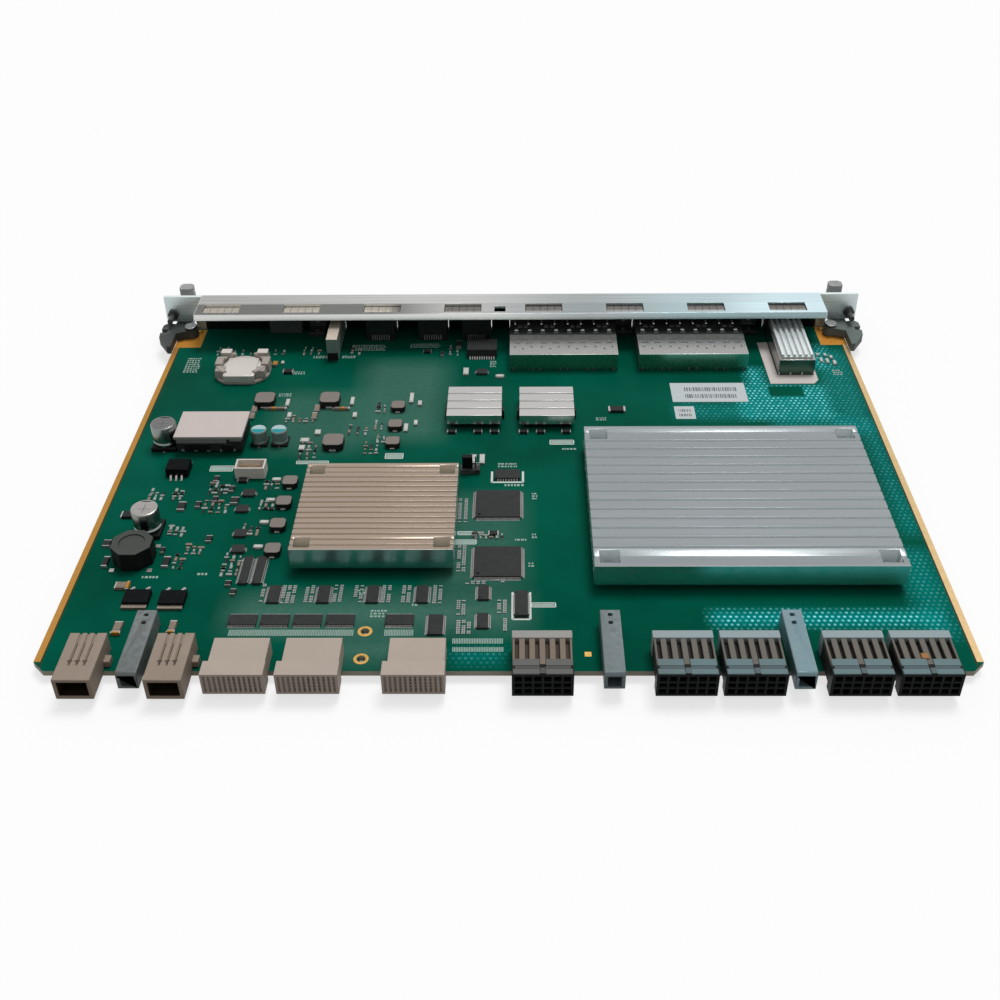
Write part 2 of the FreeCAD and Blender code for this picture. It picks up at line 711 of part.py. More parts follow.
def mirrored(name, source):
    """Mirror image across the card's middle."""
    obj = doc.addObject("Part::Mirroring", f"{name}_mirror")
    obj.Source = source
    obj.Normal = FreeCAD.Vector(1, 0, 0)
    return node(name, obj)


def sink_corners(sink):
    """Screw places of one large heat sink."""
    reach_x = f"({sink}_width / 2 - {sink}_inset)"
    reach_y = f"({sink}_depth / 2 - {sink}_inset)"
    return [(f"{at_x(sink)} {sx} {reach_x}", f"{at_y(sink)} {sy} {reach_y}")
            for sx in "+-" for sy in "+-"]


def guide_screws():
    """Places of the screws that hold the guide sockets from below."""
    return [(at_x(guide), "rear + guide_screw_place")
            for guide in ("left_guide", "middle_guide", "right_guide")]


def bracket_screws():
    """Places of the screws that hold the panel brackets from below."""
    return [(at_x(name), "panel_back - bracket_screw_setback")
            for name in ("left_bracket", "middle_bracket", "right_bracket")]


def build_board():
    """Laminate with clipped rear corners and every hole that something passes through."""
    body = new_body("board", z="board_bottom")
    edge = sketch_on(body, "edge", "XY_Plane")
    polygon(edge, [("left", "rear + corner_clip"), ("left + corner_clip", "rear"),
                   ("right - corner_clip", "rear"), ("right", "rear + corner_clip"),
                   ("right", "front"), ("left", "front")])
    pad(body, edge, "board_thickness")
    pivots = sketch_on(body, "pivots", "XY_Plane")
    for side in ("pivot_x", "-pivot_x"):
        circle(pivots, side, "pivot_y", "pivot_radius + running_clearance")
    pocket(body, pivots, "board_thickness", flip=True)
    drilled = [(x, y, "sink_screw_hole") for x, y in sink_corners("main_sink") + sink_corners("mid_sink")]
    drilled += [(x, y, "screw_hole") for x, y in guide_screws() + bracket_screws()]
    drilled += [(at_x(name), at_y(name), "plated_hole_radius")
                for name in ("upper_plated_hole", "lower_plated_hole")]
    drills = [prism(f"drill_{index}", "screw_sides", radius, "board_thickness", (x, y, "board_bottom"))
              for index, (x, y, radius) in enumerate(drilled, 1)]
    node("circuit_board", cut("drilled_board", body, *drills))


def build_panel():
    """Front plate with ears, port openings and a windowed top flange."""
    body = new_body("panel", y="panel_front")
    plate = sketch_on(body, "plate", "XZ_Plane")
    end, foot = "panel_length / 2", "arm_offset - pivot_x - notch_room"
    polygon(plate, [(f"-({foot})", "0"), (foot, "0"), (foot, "notch_top"), (end, "notch_top"),
                    (end, "panel_height"), (f"-({end})", "panel_height"),
                    (f"-({end})", "notch_top"), (f"-({foot})", "notch_top")])
    pad(body, plate, "panel_thickness")
    flange = sketch_on(body, "flange", "YZ_Plane", "-flange_length / 2")
    under = "panel_height - sheet_thickness"
    polygon(flange, [("-panel_thickness", under), ("-panel_thickness", "panel_height"),
                     ("-flange_depth", "panel_height"),
                     ("-flange_depth", "panel_height - flange_lip"),
                     ("sheet_thickness - flange_depth", "panel_height - flange_lip"),
                     ("sheet_thickness - flange_depth", under)])
    pad(body, flange, "flange_length")
    lip = sketch_on(body, "lip", "YZ_Plane", "-flange_length / 2")
    polygon(lip, [("-bottom_lip", "0"), ("-panel_thickness", "0"),
                  ("-panel_thickness", "sheet_thickness"), ("-bottom_lip", "sheet_thickness")])
    pad(body, lip, "flange_length")
    key = sketch_on(body, "key", "XY_Plane", "panel_height")
    rectangle(key, "key_hole_place", "-key_hole_inset", "key_hole_length", "key_hole_depth")
    pocket(body, key, "sheet_thickness")
    ports = sketch_on(body, "ports", "XZ_Plane")
    for name, width, height in (("usb", "usb_width", "usb_height"),
                                ("left_jack", "jack_width", "jack_height"),
                                ("middle_jack", "jack_width", "jack_height"),
                                ("right_jack", "jack_width", "jack_height"),
                                ("left_cage", "cage_width", "cage_height"),
                                ("right_cage", "cage_width", "cage_height"),
                                ("wide_cage", "wide_cage_width", "wide_cage_height")):
        rectangle(ports, at_x(name), f"board_top + {height} / 2", f"{width} + 2 * port_clearance",
                  f"{height} + 2 * port_clearance")
    for side in ("ear_screw_x", "-ear_screw_x"):
        circle(ports, side, "board_top + ear_screw_rise", "captive_radius + running_clearance")
    for name in ("left_bracket", "middle_bracket", "right_bracket"):
        regular(ports, at_x(name), "board_top + bracket_screw_rise", "screw_hole", "screw_sides")
    pipe_hole = "pipe_side + 2 * hole_clearance"
    for index in range(int(number("pipe_count"))):
        rectangle(ports, pipe_x(index), "board_top + pipe_rise", pipe_hole, pipe_hole)
    pocket(body, ports, "panel_thickness", flip=True)
    windows = sketch_on(body, "windows", "XY_Plane", "panel_height")
    rectangle(windows, "window_middle - window_pitch * (window_count - 1) / 2", "-window_inset",
              "window_length", "window_depth")
    window = pocket(body, windows, "sheet_thickness")
    repeat(body, window, windows, "window_pitch", "window_count")
    node("front_panel", body)


def build_springs():
    """Strips of sloping contact fingers, one strip under each window of the flange."""
    body = new_body("spring_strip")
    foot = sketch_on(body, "foot", "XY_Plane")
    rectangle(foot, "0", "window_depth / 2 + spring_foot / 2",
              "finger_pitch * (finger_count - 1) + finger_width", "spring_foot")
    pad(body, foot, "finger_thickness", flip=True)
    row = "finger_pitch * (finger_count - 1) / 2 + finger_width / 2"
    slope = sketch_on(body, "slope", "YZ_Plane", f"-({row})")
    half, crown = "window_depth / 2", "sheet_thickness - finger_thickness"
    polygon(slope, [(half, "-finger_thickness"), (half, "0"), (f"-{half}", crown),
                    (f"-{half}", f"{crown} - finger_thickness")])
    finger = pad(body, slope, "finger_width")
    pattern = body.newObject("PartDesign::LinearPattern", "finger_row")
    pattern.Originals = [finger]
    pattern.Direction = (slope, ["N_Axis"])
    pattern.setExpression("Length", ex("finger_pitch * (finger_count - 1)"))
    pattern.setExpression("Occurrences", ex("finger_count"))
    body.Tip = pattern
    spots = [(f"window_middle + window_pitch * ({index} - (window_count - 1) / 2)",
              "panel_front - window_inset", "panel_height - sheet_thickness")
             for index in range(int(number("window_count")))]
    group("contact_springs", copies("spring_strip", body, spots))


def build_levers():
    """Ejector levers with a hooked cam lobe and a handle, on pins through the board."""
    body = new_body("lever", "pivot_x", "pivot_y", "lever_bottom")
    lobe = sketch_on(body, "lobe", "XY_Plane")
    tail_side = "0.5 - pivot_inset - lever_gap"
    slot_top = "-0.1 * lobe_reach"
    polygon(lobe, [("0", "hub_radius - 0.5"), ("2 - lobe_reach", "hub_radius - 0.5"),
                   ("-lobe_reach", "hub_radius / 2"), ("-lobe_reach", slot_top),
                   ("hook_depth - lobe_reach", slot_top),
                   ("hook_depth - lobe_reach", f"{slot_top} - hook_width"),
                   ("-lobe_reach", f"{slot_top} - hook_width"),
                   ("-lobe_reach + 0.5", "-lobe_tail / 2"), ("-lobe_reach / 2 - 1.2", "-lobe_tail"),
                   (tail_side, "-lobe_tail"), (tail_side, "-hub_radius"), ("0", "0.5 - hub_radius")])
    pad(body, lobe, "lobe_height")
    hub = sketch_on(body, "hub", "XY_Plane")
    regular(hub, "0", "0", "hub_radius", "hub_sides")
    pad(body, hub, "lobe_height")
    arm = sketch_on(body, "arm", "XY_Plane")
    rectangle(arm, "-arm_offset - arm_width / 2", "(arm_length + handle_depth) / 2", "arm_width",
              "arm_length + handle_depth")
    pad(body, arm, "arm_height")
    handle = sketch_on(body, "handle", "XY_Plane")
    inner, outer = "-arm_offset", "-arm_offset - arm_width"
    near, far = "arm_length", "arm_length + handle_depth"
    polygon(handle, [(f"{inner} - handle_round", near), (inner, f"{near} + handle_round"),
                     (inner, f"{far} - handle_round"), (f"{inner} - handle_round", far),
                     (f"{outer} + handle_round", far), (outer, f"{far} - handle_round"),
                     (outer, f"{near} + handle_round"), (f"{outer} + handle_round", near)])
    pad(body, handle, "handle_height")
    bore = sketch_on(body, "bore", "XY_Plane")
    circle(bore, "0", "0", "pivot_radius + running_clearance")
    pocket(body, bore, "lobe_height", flip=True)
    node("left_ejector_lever", body)
    mirrored("right_ejector_lever", body)

    under_head = "board_thickness + lobe_height + 2 * lever_gap"
    shank = rod("pivot_shank", "pivot_radius", under_head, ("0", "0", "0"))
    head = prism("pivot_head", "hub_sides", "pivot_head_radius", "pivot_head_height",
                 ("0", "0", under_head))
    pin = fuse("pivot_pin", shank, head)
    spots = [("pivot_x", "pivot_y", "board_bottom"), ("-pivot_x", "pivot_y", "board_bottom")]
    group("pivot_pins", copies("pivot_pin", pin, spots))


def build_captive_screws():
    """Captive panel screws that turn in the ears, held by a collar behind."""
    behind = "-captive_gap - captive_collar_height"
    ahead = "panel_thickness + captive_gap"
    tip = f"{behind} - captive_thread_length"
    shank = turned("captive_shank", [
        ("0", tip), ("captive_thread_radius", tip), ("captive_thread_radius", behind),
        ("captive_radius", behind), ("captive_radius", ahead), ("0", ahead)])
    collar = prism("captive_collar", "screw_sides", "captive_collar_radius", "captive_collar_height",
                   ("0", "0", behind))
    head = prism("captive_head", "captive_head_sides", "captive_head_radius", "captive_head_height",
                 ("0", "0", ahead))
    screw = fuse("captive_screw", shank, collar, head)
    height = "board_top + ear_screw_rise"
    sides = [("-ear_screw_x", "panel_back", height), ("ear_screw_x", "panel_back", height)]
    links = copies("captive", screw, sides, TURN_TO_FRONT)
    for name, link in zip(("left_captive_screw", "right_captive_screw"), links):
        group(name, [link])


def hex_screw(name, head_radius, head_height, radius, length):
    """Hexagon-head screw: head below its seat at the origin, shank above it."""
    head = prism(f"{name}_head", "6", head_radius, head_height, ("0", "0", f"-({head_height})"))
    shank = prism(f"{name}_shank", "screw_sides", radius, length, ("0", "0", "0"))
    return fuse(name, head, shank)


def build_brackets():
    """Angle brackets that tie the panel to the board, and the small hexagon-head screws."""
    body = new_body("bracket")
    angle = sketch_on(body, "angle", "YZ_Plane", "-bracket_width / 2")
    polygon(angle, [("0", "0"), ("0", "bracket_rise"), ("-bracket_thickness", "bracket_rise"),
                    ("-bracket_thickness", "bracket_thickness"), ("-bracket_leg", "bracket_thickness"),
                    ("-bracket_leg", "0")])
    pad(body, angle, "bracket_width")
    below = sketch_on(body, "below", "XY_Plane")
    regular(below, "0", "-bracket_screw_setback", "screw_hole", "screw_sides")
    pocket(body, below, "bracket_thickness", flip=True)
    ahead = sketch_on(body, "ahead", "XZ_Plane")
    regular(ahead, "0", "bracket_screw_rise", "screw_hole", "screw_sides")
    pocket(body, ahead, "bracket_thickness", flip=True)
    names = ("left_bracket", "middle_bracket", "right_bracket")
    spots = [(at_x(name), "panel_back", "board_top") for name in names]
    group("panel_brackets", copies("bracket", body, spots))

    screw = hex_screw("small_screw", "screw_head_radius", "screw_head_height",
                      "screw_radius", "screw_length")
    from_below = [(x, y, "board_bottom") for x, y in guide_screws() + bracket_screws()]
    group("board_screws", copies("board_screw", screw, from_below))
    from_ahead = [(at_x(name), "panel_front", "board_top + bracket_screw_rise") for name in names]
    group("panel_screws", copies("panel_screw", screw, from_ahead, TURN_TO_BACK))


def build_usb_socket():
    """Upright shielded socket with its contact tongue."""
    low = (f"{at_x('usb')} - usb_width / 2", "panel_front + cage_nose - usb_length", "board_top")
    shell = block("usb_shell", ("usb_width", "usb_length", "usb_height"), low)
    back = "panel_front + cage_nose - usb_mouth"
    mouth = block("usb_mouth", ("usb_width - 2 * usb_wall", "usb_mouth", "usb_height - 2 * usb_wall"),
                  (f"{at_x('usb')} - usb_width / 2 + usb_wall", back, "board_top + usb_wall"))
    tongue = block("usb_tongue", ("usb_tongue", "usb_mouth - 2", "usb_height - 2 - 2 * usb_wall"),
                   (f"{at_x('usb')} - usb_tongue", f"{back} - 1", "board_top + usb_wall + 1"))
    node("usb_socket", fuse("usb_body", cut("usb_hollow", shell, mouth), tongue))


def build_jacks():
    """Network jacks with a plug opening and its latch slot."""
    nose = "panel_front + port_clearance"
    for name in ("left", "middle", "right"):
        x = at_x(f"{name}_jack")
        body = block(f"{name}_jack_body", ("jack_width", "jack_length", "jack_height"),
                     (f"{x} - jack_width / 2", f"{nose} - jack_length", "board_top"))
        mouth = block(f"{name}_jack_mouth", ("jack_mouth_width", "jack_mouth_depth", "jack_mouth_height"),
                      (f"{x} - jack_mouth_width / 2", f"{nose} - jack_mouth_depth",
                       "board_top + jack_mouth_rise"))
        latch = block(f"{name}_jack_latch", ("jack_latch_width", "jack_mouth_depth", "jack_latch_drop + 1"),
                      (f"{x} - jack_latch_width / 2", f"{nose} - jack_mouth_depth",
                       "board_top + jack_mouth_rise - jack_latch_drop"))
        node(f"{name}_network_jack", cut(f"{name}_jack_hollow", body, mouth, latch))


def pipe_x(index):
    """Place of one light pipe along the panel."""
    return f"{at_x('light_pipes')} + pipe_pitch * ({index} - (pipe_count - 1) / 2)"


def build_light_pipes():
    """Clear moulding: a foot on the board and four pipes through the panel."""
    foot = block("pipe_foot", ("pipe_pitch * pipe_count", "pipe_holder_depth", "pipe_holder_height"),
                 (f"{at_x('light_pipes')} - pipe_pitch * pipe_count / 2", "front - pipe_holder_depth",
                  "board_top"))
    pipe_size = ("pipe_side", "panel_gap + panel_thickness + pipe_nose", "pipe_side")
    pipes = [block(f"pipe_{index + 1}", pipe_size,
                   (f"{pipe_x(index)} - pipe_side / 2", "front", "board_top + pipe_rise - pipe_side / 2"))
             for index in range(int(number("pipe_count")))]
    node("light_pipes", fuse("pipe_moulding", foot, *pipes))


def socket_block(name, x, y, z):
    """Edge socket at the end of a cage bay."""
    return block(name, ("socket_width", "socket_depth", "socket_height"), (f"{x} - socket_width / 2", y, z))


def build_cages():
    """Ganged sheet-metal cages with their bays, and the sockets at the bays' ends."""
    sockets = []
    for side in ("left", "right"):
        x = at_x(f"{side}_cage")
        rear = "panel_front + cage_nose - cage_length"
        shell = block(f"{side}_cage_shell", ("cage_width", "cage_length", "cage_height"),
                      (f"{x} - cage_width / 2", rear, "board_top"))
        bays = []
        for index in range(int(number("cage_bays"))):
            low = f"{x} - cage_width / 2 + cage_wall + {index} * (bay_width + cage_wall)"
            bays.append(block(f"{side}_bay_{index + 1}",
                              ("bay_width", "cage_length - cage_wall", "cage_height - 2 * cage_wall"),
                              (low, f"{rear} + cage_wall", "board_top + cage_wall")))
            sockets.append(socket_block(f"{side}_socket_{index + 1}", f"{low} + bay_width / 2",
                                        f"{rear} + cage_wall", "board_top + cage_wall"))
        node(f"{side}_transceiver_cage", cut(f"{side}_cage_hollow", shell, *bays))
    x = at_x("wide_cage")
    rear = "panel_front + cage_nose - wide_cage_length"
    shell = block("wide_cage_shell", ("wide_cage_width", "wide_cage_length", "wide_cage_height"),
                  (f"{x} - wide_cage_width / 2", rear, "board_top"))
    bay = block("wide_cage_bay", ("wide_cage_width - 2 * cage_wall", "wide_cage_length - cage_wall",
                                  "wide_cage_height - 2 * cage_wall"),
                (f"{x} - wide_cage_width / 2 + cage_wall", f"{rear} + cage_wall", "board_top + cage_wall"))
    node("wide_cage", cut("wide_cage_hollow", shell, bay))
    sockets.append(socket_block("wide_socket", x, f"{rear} + cage_wall", "board_top + cage_wall"))
    group("cage_sockets", sockets)


def build_wide_sink():
    """Ribbed sink on the wide cage, and the insulating film beside it."""
    rear = "panel_front + cage_nose - wide_cage_length"
    body = new_body("wide_sink", at_x("wide_cage"), f"{rear} + wide_sink_setback",
                    "board_top + wide_cage_height")
    base = sketch_on(body, "base", "XY_Plane")
    rectangle(base, "0", "wide_sink_length / 2", "wide_sink_width", "wide_sink_length")
    pad(body, base, "wide_sink_base")
    rib = sketch_on(body, "rib", "XY_Plane", "wide_sink_base")
    rectangle(rib, "(wide_sink_rib_width - wide_sink_width) / 2", "wide_sink_length / 2",
              "wide_sink_rib_width", "wide_sink_length")
    first = pad(body, rib, "wide_sink_rib")
    repeat(body, first, rib, "(wide_sink_width - wide_sink_rib_width) / (wide_sink_ribs - 1)",
           "wide_sink_ribs")
    node("wide_cage_sink", body)

    film = new_body("film", at_x("wide_cage"), rear, "board_top")
    sheet_edge = sketch_on(film, "edge", "XY_Plane")
    inner = "film_arm - film_left"
    polygon(sheet_edge, [("-film_left", "-film_tongue - film_margin"),
                         ("film_right", "-film_tongue - film_margin"), ("film_right", "-film_margin"),
                         (inner, "-film_margin"), (inner, "film_length - film_tongue"),
                         ("-film_left", "film_length - film_tongue")])
    pad(film, sheet_edge, "film_thickness")
    node("cage_insulator", film)


def finned_sink(body, sink):
    """Plate with straight fins along X, on a body that stands on the chip."""
    plate = sketch_on(body, "plate", "XY_Plane")
    rectangle(plate, "0", "0", f"{sink}_width", f"{sink}_depth")
    pad(body, plate, f"{sink}_base + {sink}_fin_height")
    fin = f"({sink}_depth - ({sink}_fins - 1) * {sink}_slot) / {sink}_fins"
    slot = sketch_on(body, "slot", "YZ_Plane", f"-{sink}_width / 2")
    low, high = f"{sink}_base", f"{sink}_base + {sink}_fin_height"
    near = f"{fin} - {sink}_depth / 2"
    far = f"{near} + {sink}_slot"
    polygon(slot, [(near, low), (far, low), (far, high), (near, high)])
    gap = pocket(body, slot, f"{sink}_width", flip=True)
    return repeat(body, gap, slot, f"{fin} + {sink}_slot", f"{sink}_fins - 1")


def build_sinks():
    """Heat sinks on their chips, with the screws and nuts that hold the two large ones."""
    for side in ("main", "mid"):
        sink = f"{side}_sink"
        body = new_body(sink, at_x(sink), at_y(sink), f"board_top + {side}_chip_height")
        finned_sink(body, sink)
        wells = sketch_on(body, "wells", "XY_Plane", f"{sink}_base + {sink}_fin_height")
        holes = sketch_on(body, "holes", "XY_Plane")
        for sx in (-1, 1):
            for sy in (-1, 1):
                x = f"{sx} * ({sink}_width / 2 - {sink}_inset)"
                y = f"{sy} * ({sink}_depth / 2 - {sink}_inset)"
                rectangle(wells, x, y, f"2 * {sink}_well", f"2 * {sink}_well")
                regular(holes, x, y, "sink_screw_hole", "screw_sides")
        pocket(body, wells, f"{sink}_fin_height")
        body.Tip = pocket(body, holes, f"{sink}_base", flip=True)
        node(f"{side}_heat_sink", body)
        chip_size = (f"{side}_chip_width", f"{side}_chip_width", f"{side}_chip_height")
        chip = standing(f"{side}_chip_body", chip_size, at_x(sink), at_y(sink), "board_top")
        node(f"{side}_chip", chip)

    small = new_body("small_sink")
    finned_sink(small, "small_sink")
    names = ("left_small_sink", "right_small_sink")
    spots = [(at_x(name), at_y(name), "board_top + small_chip_height") for name in names]
    group("small_heat_sinks", copies("small_sink", small, spots))
    chips = [standing(f"{name}_chip", ("small_chip_width", "small_chip_width", "small_chip_height"),
                      at_x(name), at_y(name), "board_top") for name in names]
    group("small_sink_chips", chips)

    screws = []
    for side in ("main", "mid"):
        grip = f"board_thickness + {side}_chip_height + {side}_sink_base"
        screw = hex_screw(f"{side}_sink_screw", "sink_screw_head_radius", "sink_screw_head_height",
                          "sink_screw_radius", grip)
        seat = f"board_top + {side}_chip_height + {side}_sink_base"
        spots = [(x, y, seat) for x, y in sink_corners(f"{side}_sink")]
        screws += copies(f"{side}_screw", screw, spots, TURN_OVER)
    group("sink_screws", screws)
    nut = prism("nut", "6", "nut_radius", "nut_height", ("0", "0", "0"))
    spots = [(x, y, "board_bottom - nut_height")
             for x, y in sink_corners("main_sink") + sink_corners("mid_sink")]
    group("sink_nuts", copies("nut_copy", nut, spots))


def build_power_connectors():
    """Deep housings with an open cavity over the board's edge, and their contact blades."""
    blades = []
    cavity_width = "power_width - 2 * power_wall"
    cavity_height = "power_height + power_drop - 2 * power_wall"
    cavity_middle = "(power_height - power_drop) / 2"
    for side in ("left", "right"):
        name = f"{side}_power"
        body = new_body(name, at_x(name), "rear", "board_top")
        section = sketch_on(body, "section", "YZ_Plane", "-power_width / 2")
        polygon(section, [("-power_overhang", "-power_drop"), ("-power_overhang", "power_height"),
                          ("power_seat", "power_height"), ("power_seat", "0"),
                          ("-edge_clearance", "0"), ("-edge_clearance", "-power_drop")])
        pad(body, section, "power_width")
        lug = sketch_on(body, "lug", "XY_Plane")
        rectangle(lug, "power_width / 2 + power_lug / 2", "power_lug_depth", "power_lug", "power_lug_depth")
        pad(body, lug, "power_lug_height")
        mouth = sketch_on(body, "mouth", "XZ_Plane", "power_overhang")
        rectangle(mouth, "0", cavity_middle, cavity_width, cavity_height)
        pocket(body, mouth, "power_cavity")
        groove = sketch_on(body, "groove", "XY_Plane", "power_height")
        rectangle(groove, "-power_groove_pitch", "power_seat - power_groove_length / 2",
                  "power_groove_width", "power_groove_length")
        first = pocket(body, groove, "power_groove_depth")
        repeat(body, first, groove, "power_groove_pitch", "3")
        node(f"{side}_power_connector", body)
        for index in range(4):
            offset = f"blade_pitch * ({index} - 1.5)"
            low = (f"{at_x(name)} + {offset} - blade_thickness / 2",
                   "rear - power_overhang + power_cavity - blade_length",
                   f"board_top + {cavity_middle} - blade_height / 2")
            blades.append(block(f"{name}_blade_{index + 1}",
                                ("blade_thickness", "blade_length", "blade_height"), low))
    group("power_contacts", blades)


def build_guides():
    """Guide sockets with a square bore in front and two square windows on top."""
    for side in ("left", "middle", "right"):
        name = f"{side}_guide"
        body = new_body(name, at_x(name), "rear", "board_top")
        section = sketch_on(body, "section", "YZ_Plane", "-guide_width / 2")
        polygon(section, [("-guide_overhang", "0"), ("-guide_overhang", "guide_height - 1"),
                          ("1 - guide_overhang", "guide_height"), ("guide_seat", "guide_height"),
                          ("guide_seat", "0")])
        pad(body, section, "guide_width")
        bore = sketch_on(body, "bore", "XZ_Plane", "guide_overhang")
        rectangle(bore, "0", "guide_height / 2 - 0.3", "guide_bore", "guide_bore")
        pocket(body, bore, "guide_bore_depth")
        windows = sketch_on(body, "windows", "XY_Plane", "guide_height")
        for offset in ("guide_window_setback", "guide_window_setback + guide_window_pitch"):
            rectangle(windows, "0", f"guide_seat - ({offset})", "guide_window", "guide_window")
        pocket(body, windows, "guide_window_depth")
        holes = sketch_on(body, "holes", "XY_Plane")
        regular(holes, "0", "guide_screw_place", "screw_hole", "screw_sides")
        pocket(body, holes, "screw_length - board_thickness", flip=True)
        node(f"{side}_guide_socket", body)


def build_signal_connectors():
    """Low connectors with a ribbed front flange past the board's edge."""
    for side in ("left", "middle", "right"):
        name = f"{side}_signal"
        body = new_body(name, at_x(name), "rear", "board_top")
        flange_back = "signal_flange - signal_overhang"
        flange = sketch_on(body, "flange", "YZ_Plane", "-signal_width / 2")
        polygon(flange, [("-signal_overhang", "-signal_drop"), (flange_back, "-signal_drop"),
                         (flange_back, "signal_height"), ("-signal_overhang", "signal_height")])
        pad(body, flange, "signal_width")
        rear_part = sketch_on(body, "rear", "YZ_Plane", "signal_body_shift - signal_body_width / 2")
        top = "signal_height - signal_step"
        polygon(rear_part, [(flange_back, "0"), ("signal_seat", "0"), ("signal_seat", top),
                            (flange_back, top)])
        pad(body, rear_part, "signal_body_width")
        groove = sketch_on(body, "groove", "XZ_Plane", "signal_overhang")
        pitch = "(signal_width - 2 * signal_margin - signal_groove) / (signal_grooves - 1)"
        rectangle(groove, "signal_margin + signal_groove / 2 - signal_width / 2",
                  "(signal_height - signal_drop) / 2", "signal_groove",
                  "signal_height + signal_drop - 2 * signal_margin")
        first = pocket(body, groove, "signal_groove_depth")
        repeat(body, first, groove, pitch, "signal_grooves")
        node(f"{side}_signal_connector", body)


def fast_places():
    """Places of the five high-speed connectors along the board's edge."""
    pairs = [f"{at_x(pair)} {sign} fast_pitch / 2"
             for pair in ("inner_fast_pair", "outer_fast_pair") for sign in "-+"]
    return [at_x("single_fast")] + pairs


def build_fast_connectors():
    """High-speed connectors: slotted shroud in front, wafer pack behind and a light bar at the rear."""
    wafers, bars = [], []
    pack = new_body("wafer_pack")
    section = sketch_on(pack, "section", "YZ_Plane", "0.3 - fast_width / 2")
    polygon(section, [("fast_wafer_front", "0"), ("fast_wafer_front", "wafer_height"),
                      ("fast_wafer_front + wafer_length", "wafer_height"),
                      ("fast_wafer_front + wafer_length", "0")])
    pad(pack, section, "fast_width - 0.6")
    groove = sketch_on(pack, "groove", "XY_Plane", "wafer_height")
    rectangle(groove, "fast_width * (1 - wafer_grooves) / (2 * wafer_grooves)",
              "fast_wafer_front + wafer_length / 2", "wafer_groove", "wafer_length")
    first = pocket(pack, groove, "wafer_groove_depth")
    repeat(pack, first, groove, "fast_width / wafer_grooves", "wafer_grooves")
    for index, x in enumerate(fast_places(), 1):
        body = new_body(f"fast_{index}", x, "rear", "board_top")
        shroud = sketch_on(body, "shroud", "YZ_Plane", "-fast_width / 2")
        polygon(shroud, [("-fast_overhang", "-fast_drop"), ("fast_wafer_front", "-fast_drop"),
                         ("fast_wafer_front", "fast_height"), ("-fast_overhang", "fast_height")])
        pad(body, shroud, "fast_width")
        latch = sketch_on(body, "latch", "XY_Plane", "fast_height")
        rectangle(latch, "0", "(fast_wafer_front - fast_overhang) / 2", "latch_width", "fast_shroud")
        pad(body, latch, "latch_height")
        slots = sketch_on(body, "slots", "XZ_Plane", "fast_overhang")
        rectangle(slots, "fast_margin + fast_slot_width / 2 - fast_width / 2",
                  "fast_margin - fast_drop + fast_mouth_height / 2", "fast_slot_width", "fast_mouth_height")
        first = pocket(body, slots, "fast_slot_depth")
        repeat(body, first, slots, "fast_slot_width + fast_rib", "fast_slots")
        node(f"high_speed_connector_{index}", body)
        wafers += copies(f"wafer_{index}", pack, [(x, "rear", "board_top")])
        bars.append(block(f"stiffener_{index}", ("fast_width", "stiffener_depth", "stiffener_height"),
                          (f"{x} - fast_width / 2", "rear + fast_wafer_front + wafer_length", "board_top")))
    group("wafer_packs", wafers)
    group("wafer_stiffeners", bars)


def build_converter():
    """Power converter module on pins, under a pale plate."""
    x, y = at_x("converter"), at_y("converter")
    width, depth = "converter_width - 2 * converter_margin", "converter_depth - 2 * converter_margin"
    body = standing("converter_block", (width, depth, "converter_body_height"), x, y, "converter_bottom")
    pins = []
    for sx in (-1, 1):
        for sy in (-1, 1):
            pin_x = f"{x} + {sx} * (converter_width / 2 - converter_pin_inset)"
            pin_y = f"{y} + {sy} * (converter_depth / 2 - converter_pin_inset)"
            pins.append(prism(f"converter_pin_{len(pins) + 1}", "screw_sides", "converter_pin_radius",
                              "converter_stand + 1", (pin_x, pin_y, "board_top")))
    node("converter_body", fuse("converter_module", body, *pins))
    plate = standing("converter_top", ("converter_width", "converter_depth", "converter_plate"), x, y,
                     "converter_bottom + converter_body_height")
    node("converter_plate", plate)


def build_capacitors():
    """Aluminium cans on square bases, and the two polymer capacitors."""
    names = ("upper_can", "lower_can")
    cans = [prism(f"{name}_body", "can_sides", "can_radius", "can_height",
                  (at_x(name), at_y(name), "board_top + can_base_height")) for name in names]
    group("electrolytic_cans", cans)
    base_size = ("can_base", "can_base", "can_base_height")
    bases = [standing(f"{name}_base", base_size, at_x(name), at_y(name), "board_top") for name in names]
    group("can_bases", bases)
    polymers = []
    for name in ("left_polymer", "right_polymer"):
        foot = standing(f"{name}_foot", ("polymer_base", "polymer_base", "polymer_base_height"),
                        at_x(name), at_y(name), "board_top")
        body = prism(f"{name}_can", "polymer_sides", "polymer_radius",
                     "polymer_height - polymer_base_height",
                     (at_x(name), at_y(name), "board_top + polymer_base_height"))
        polymers.append(fuse(name, foot, body))
    group("polymer_capacitors", polymers)


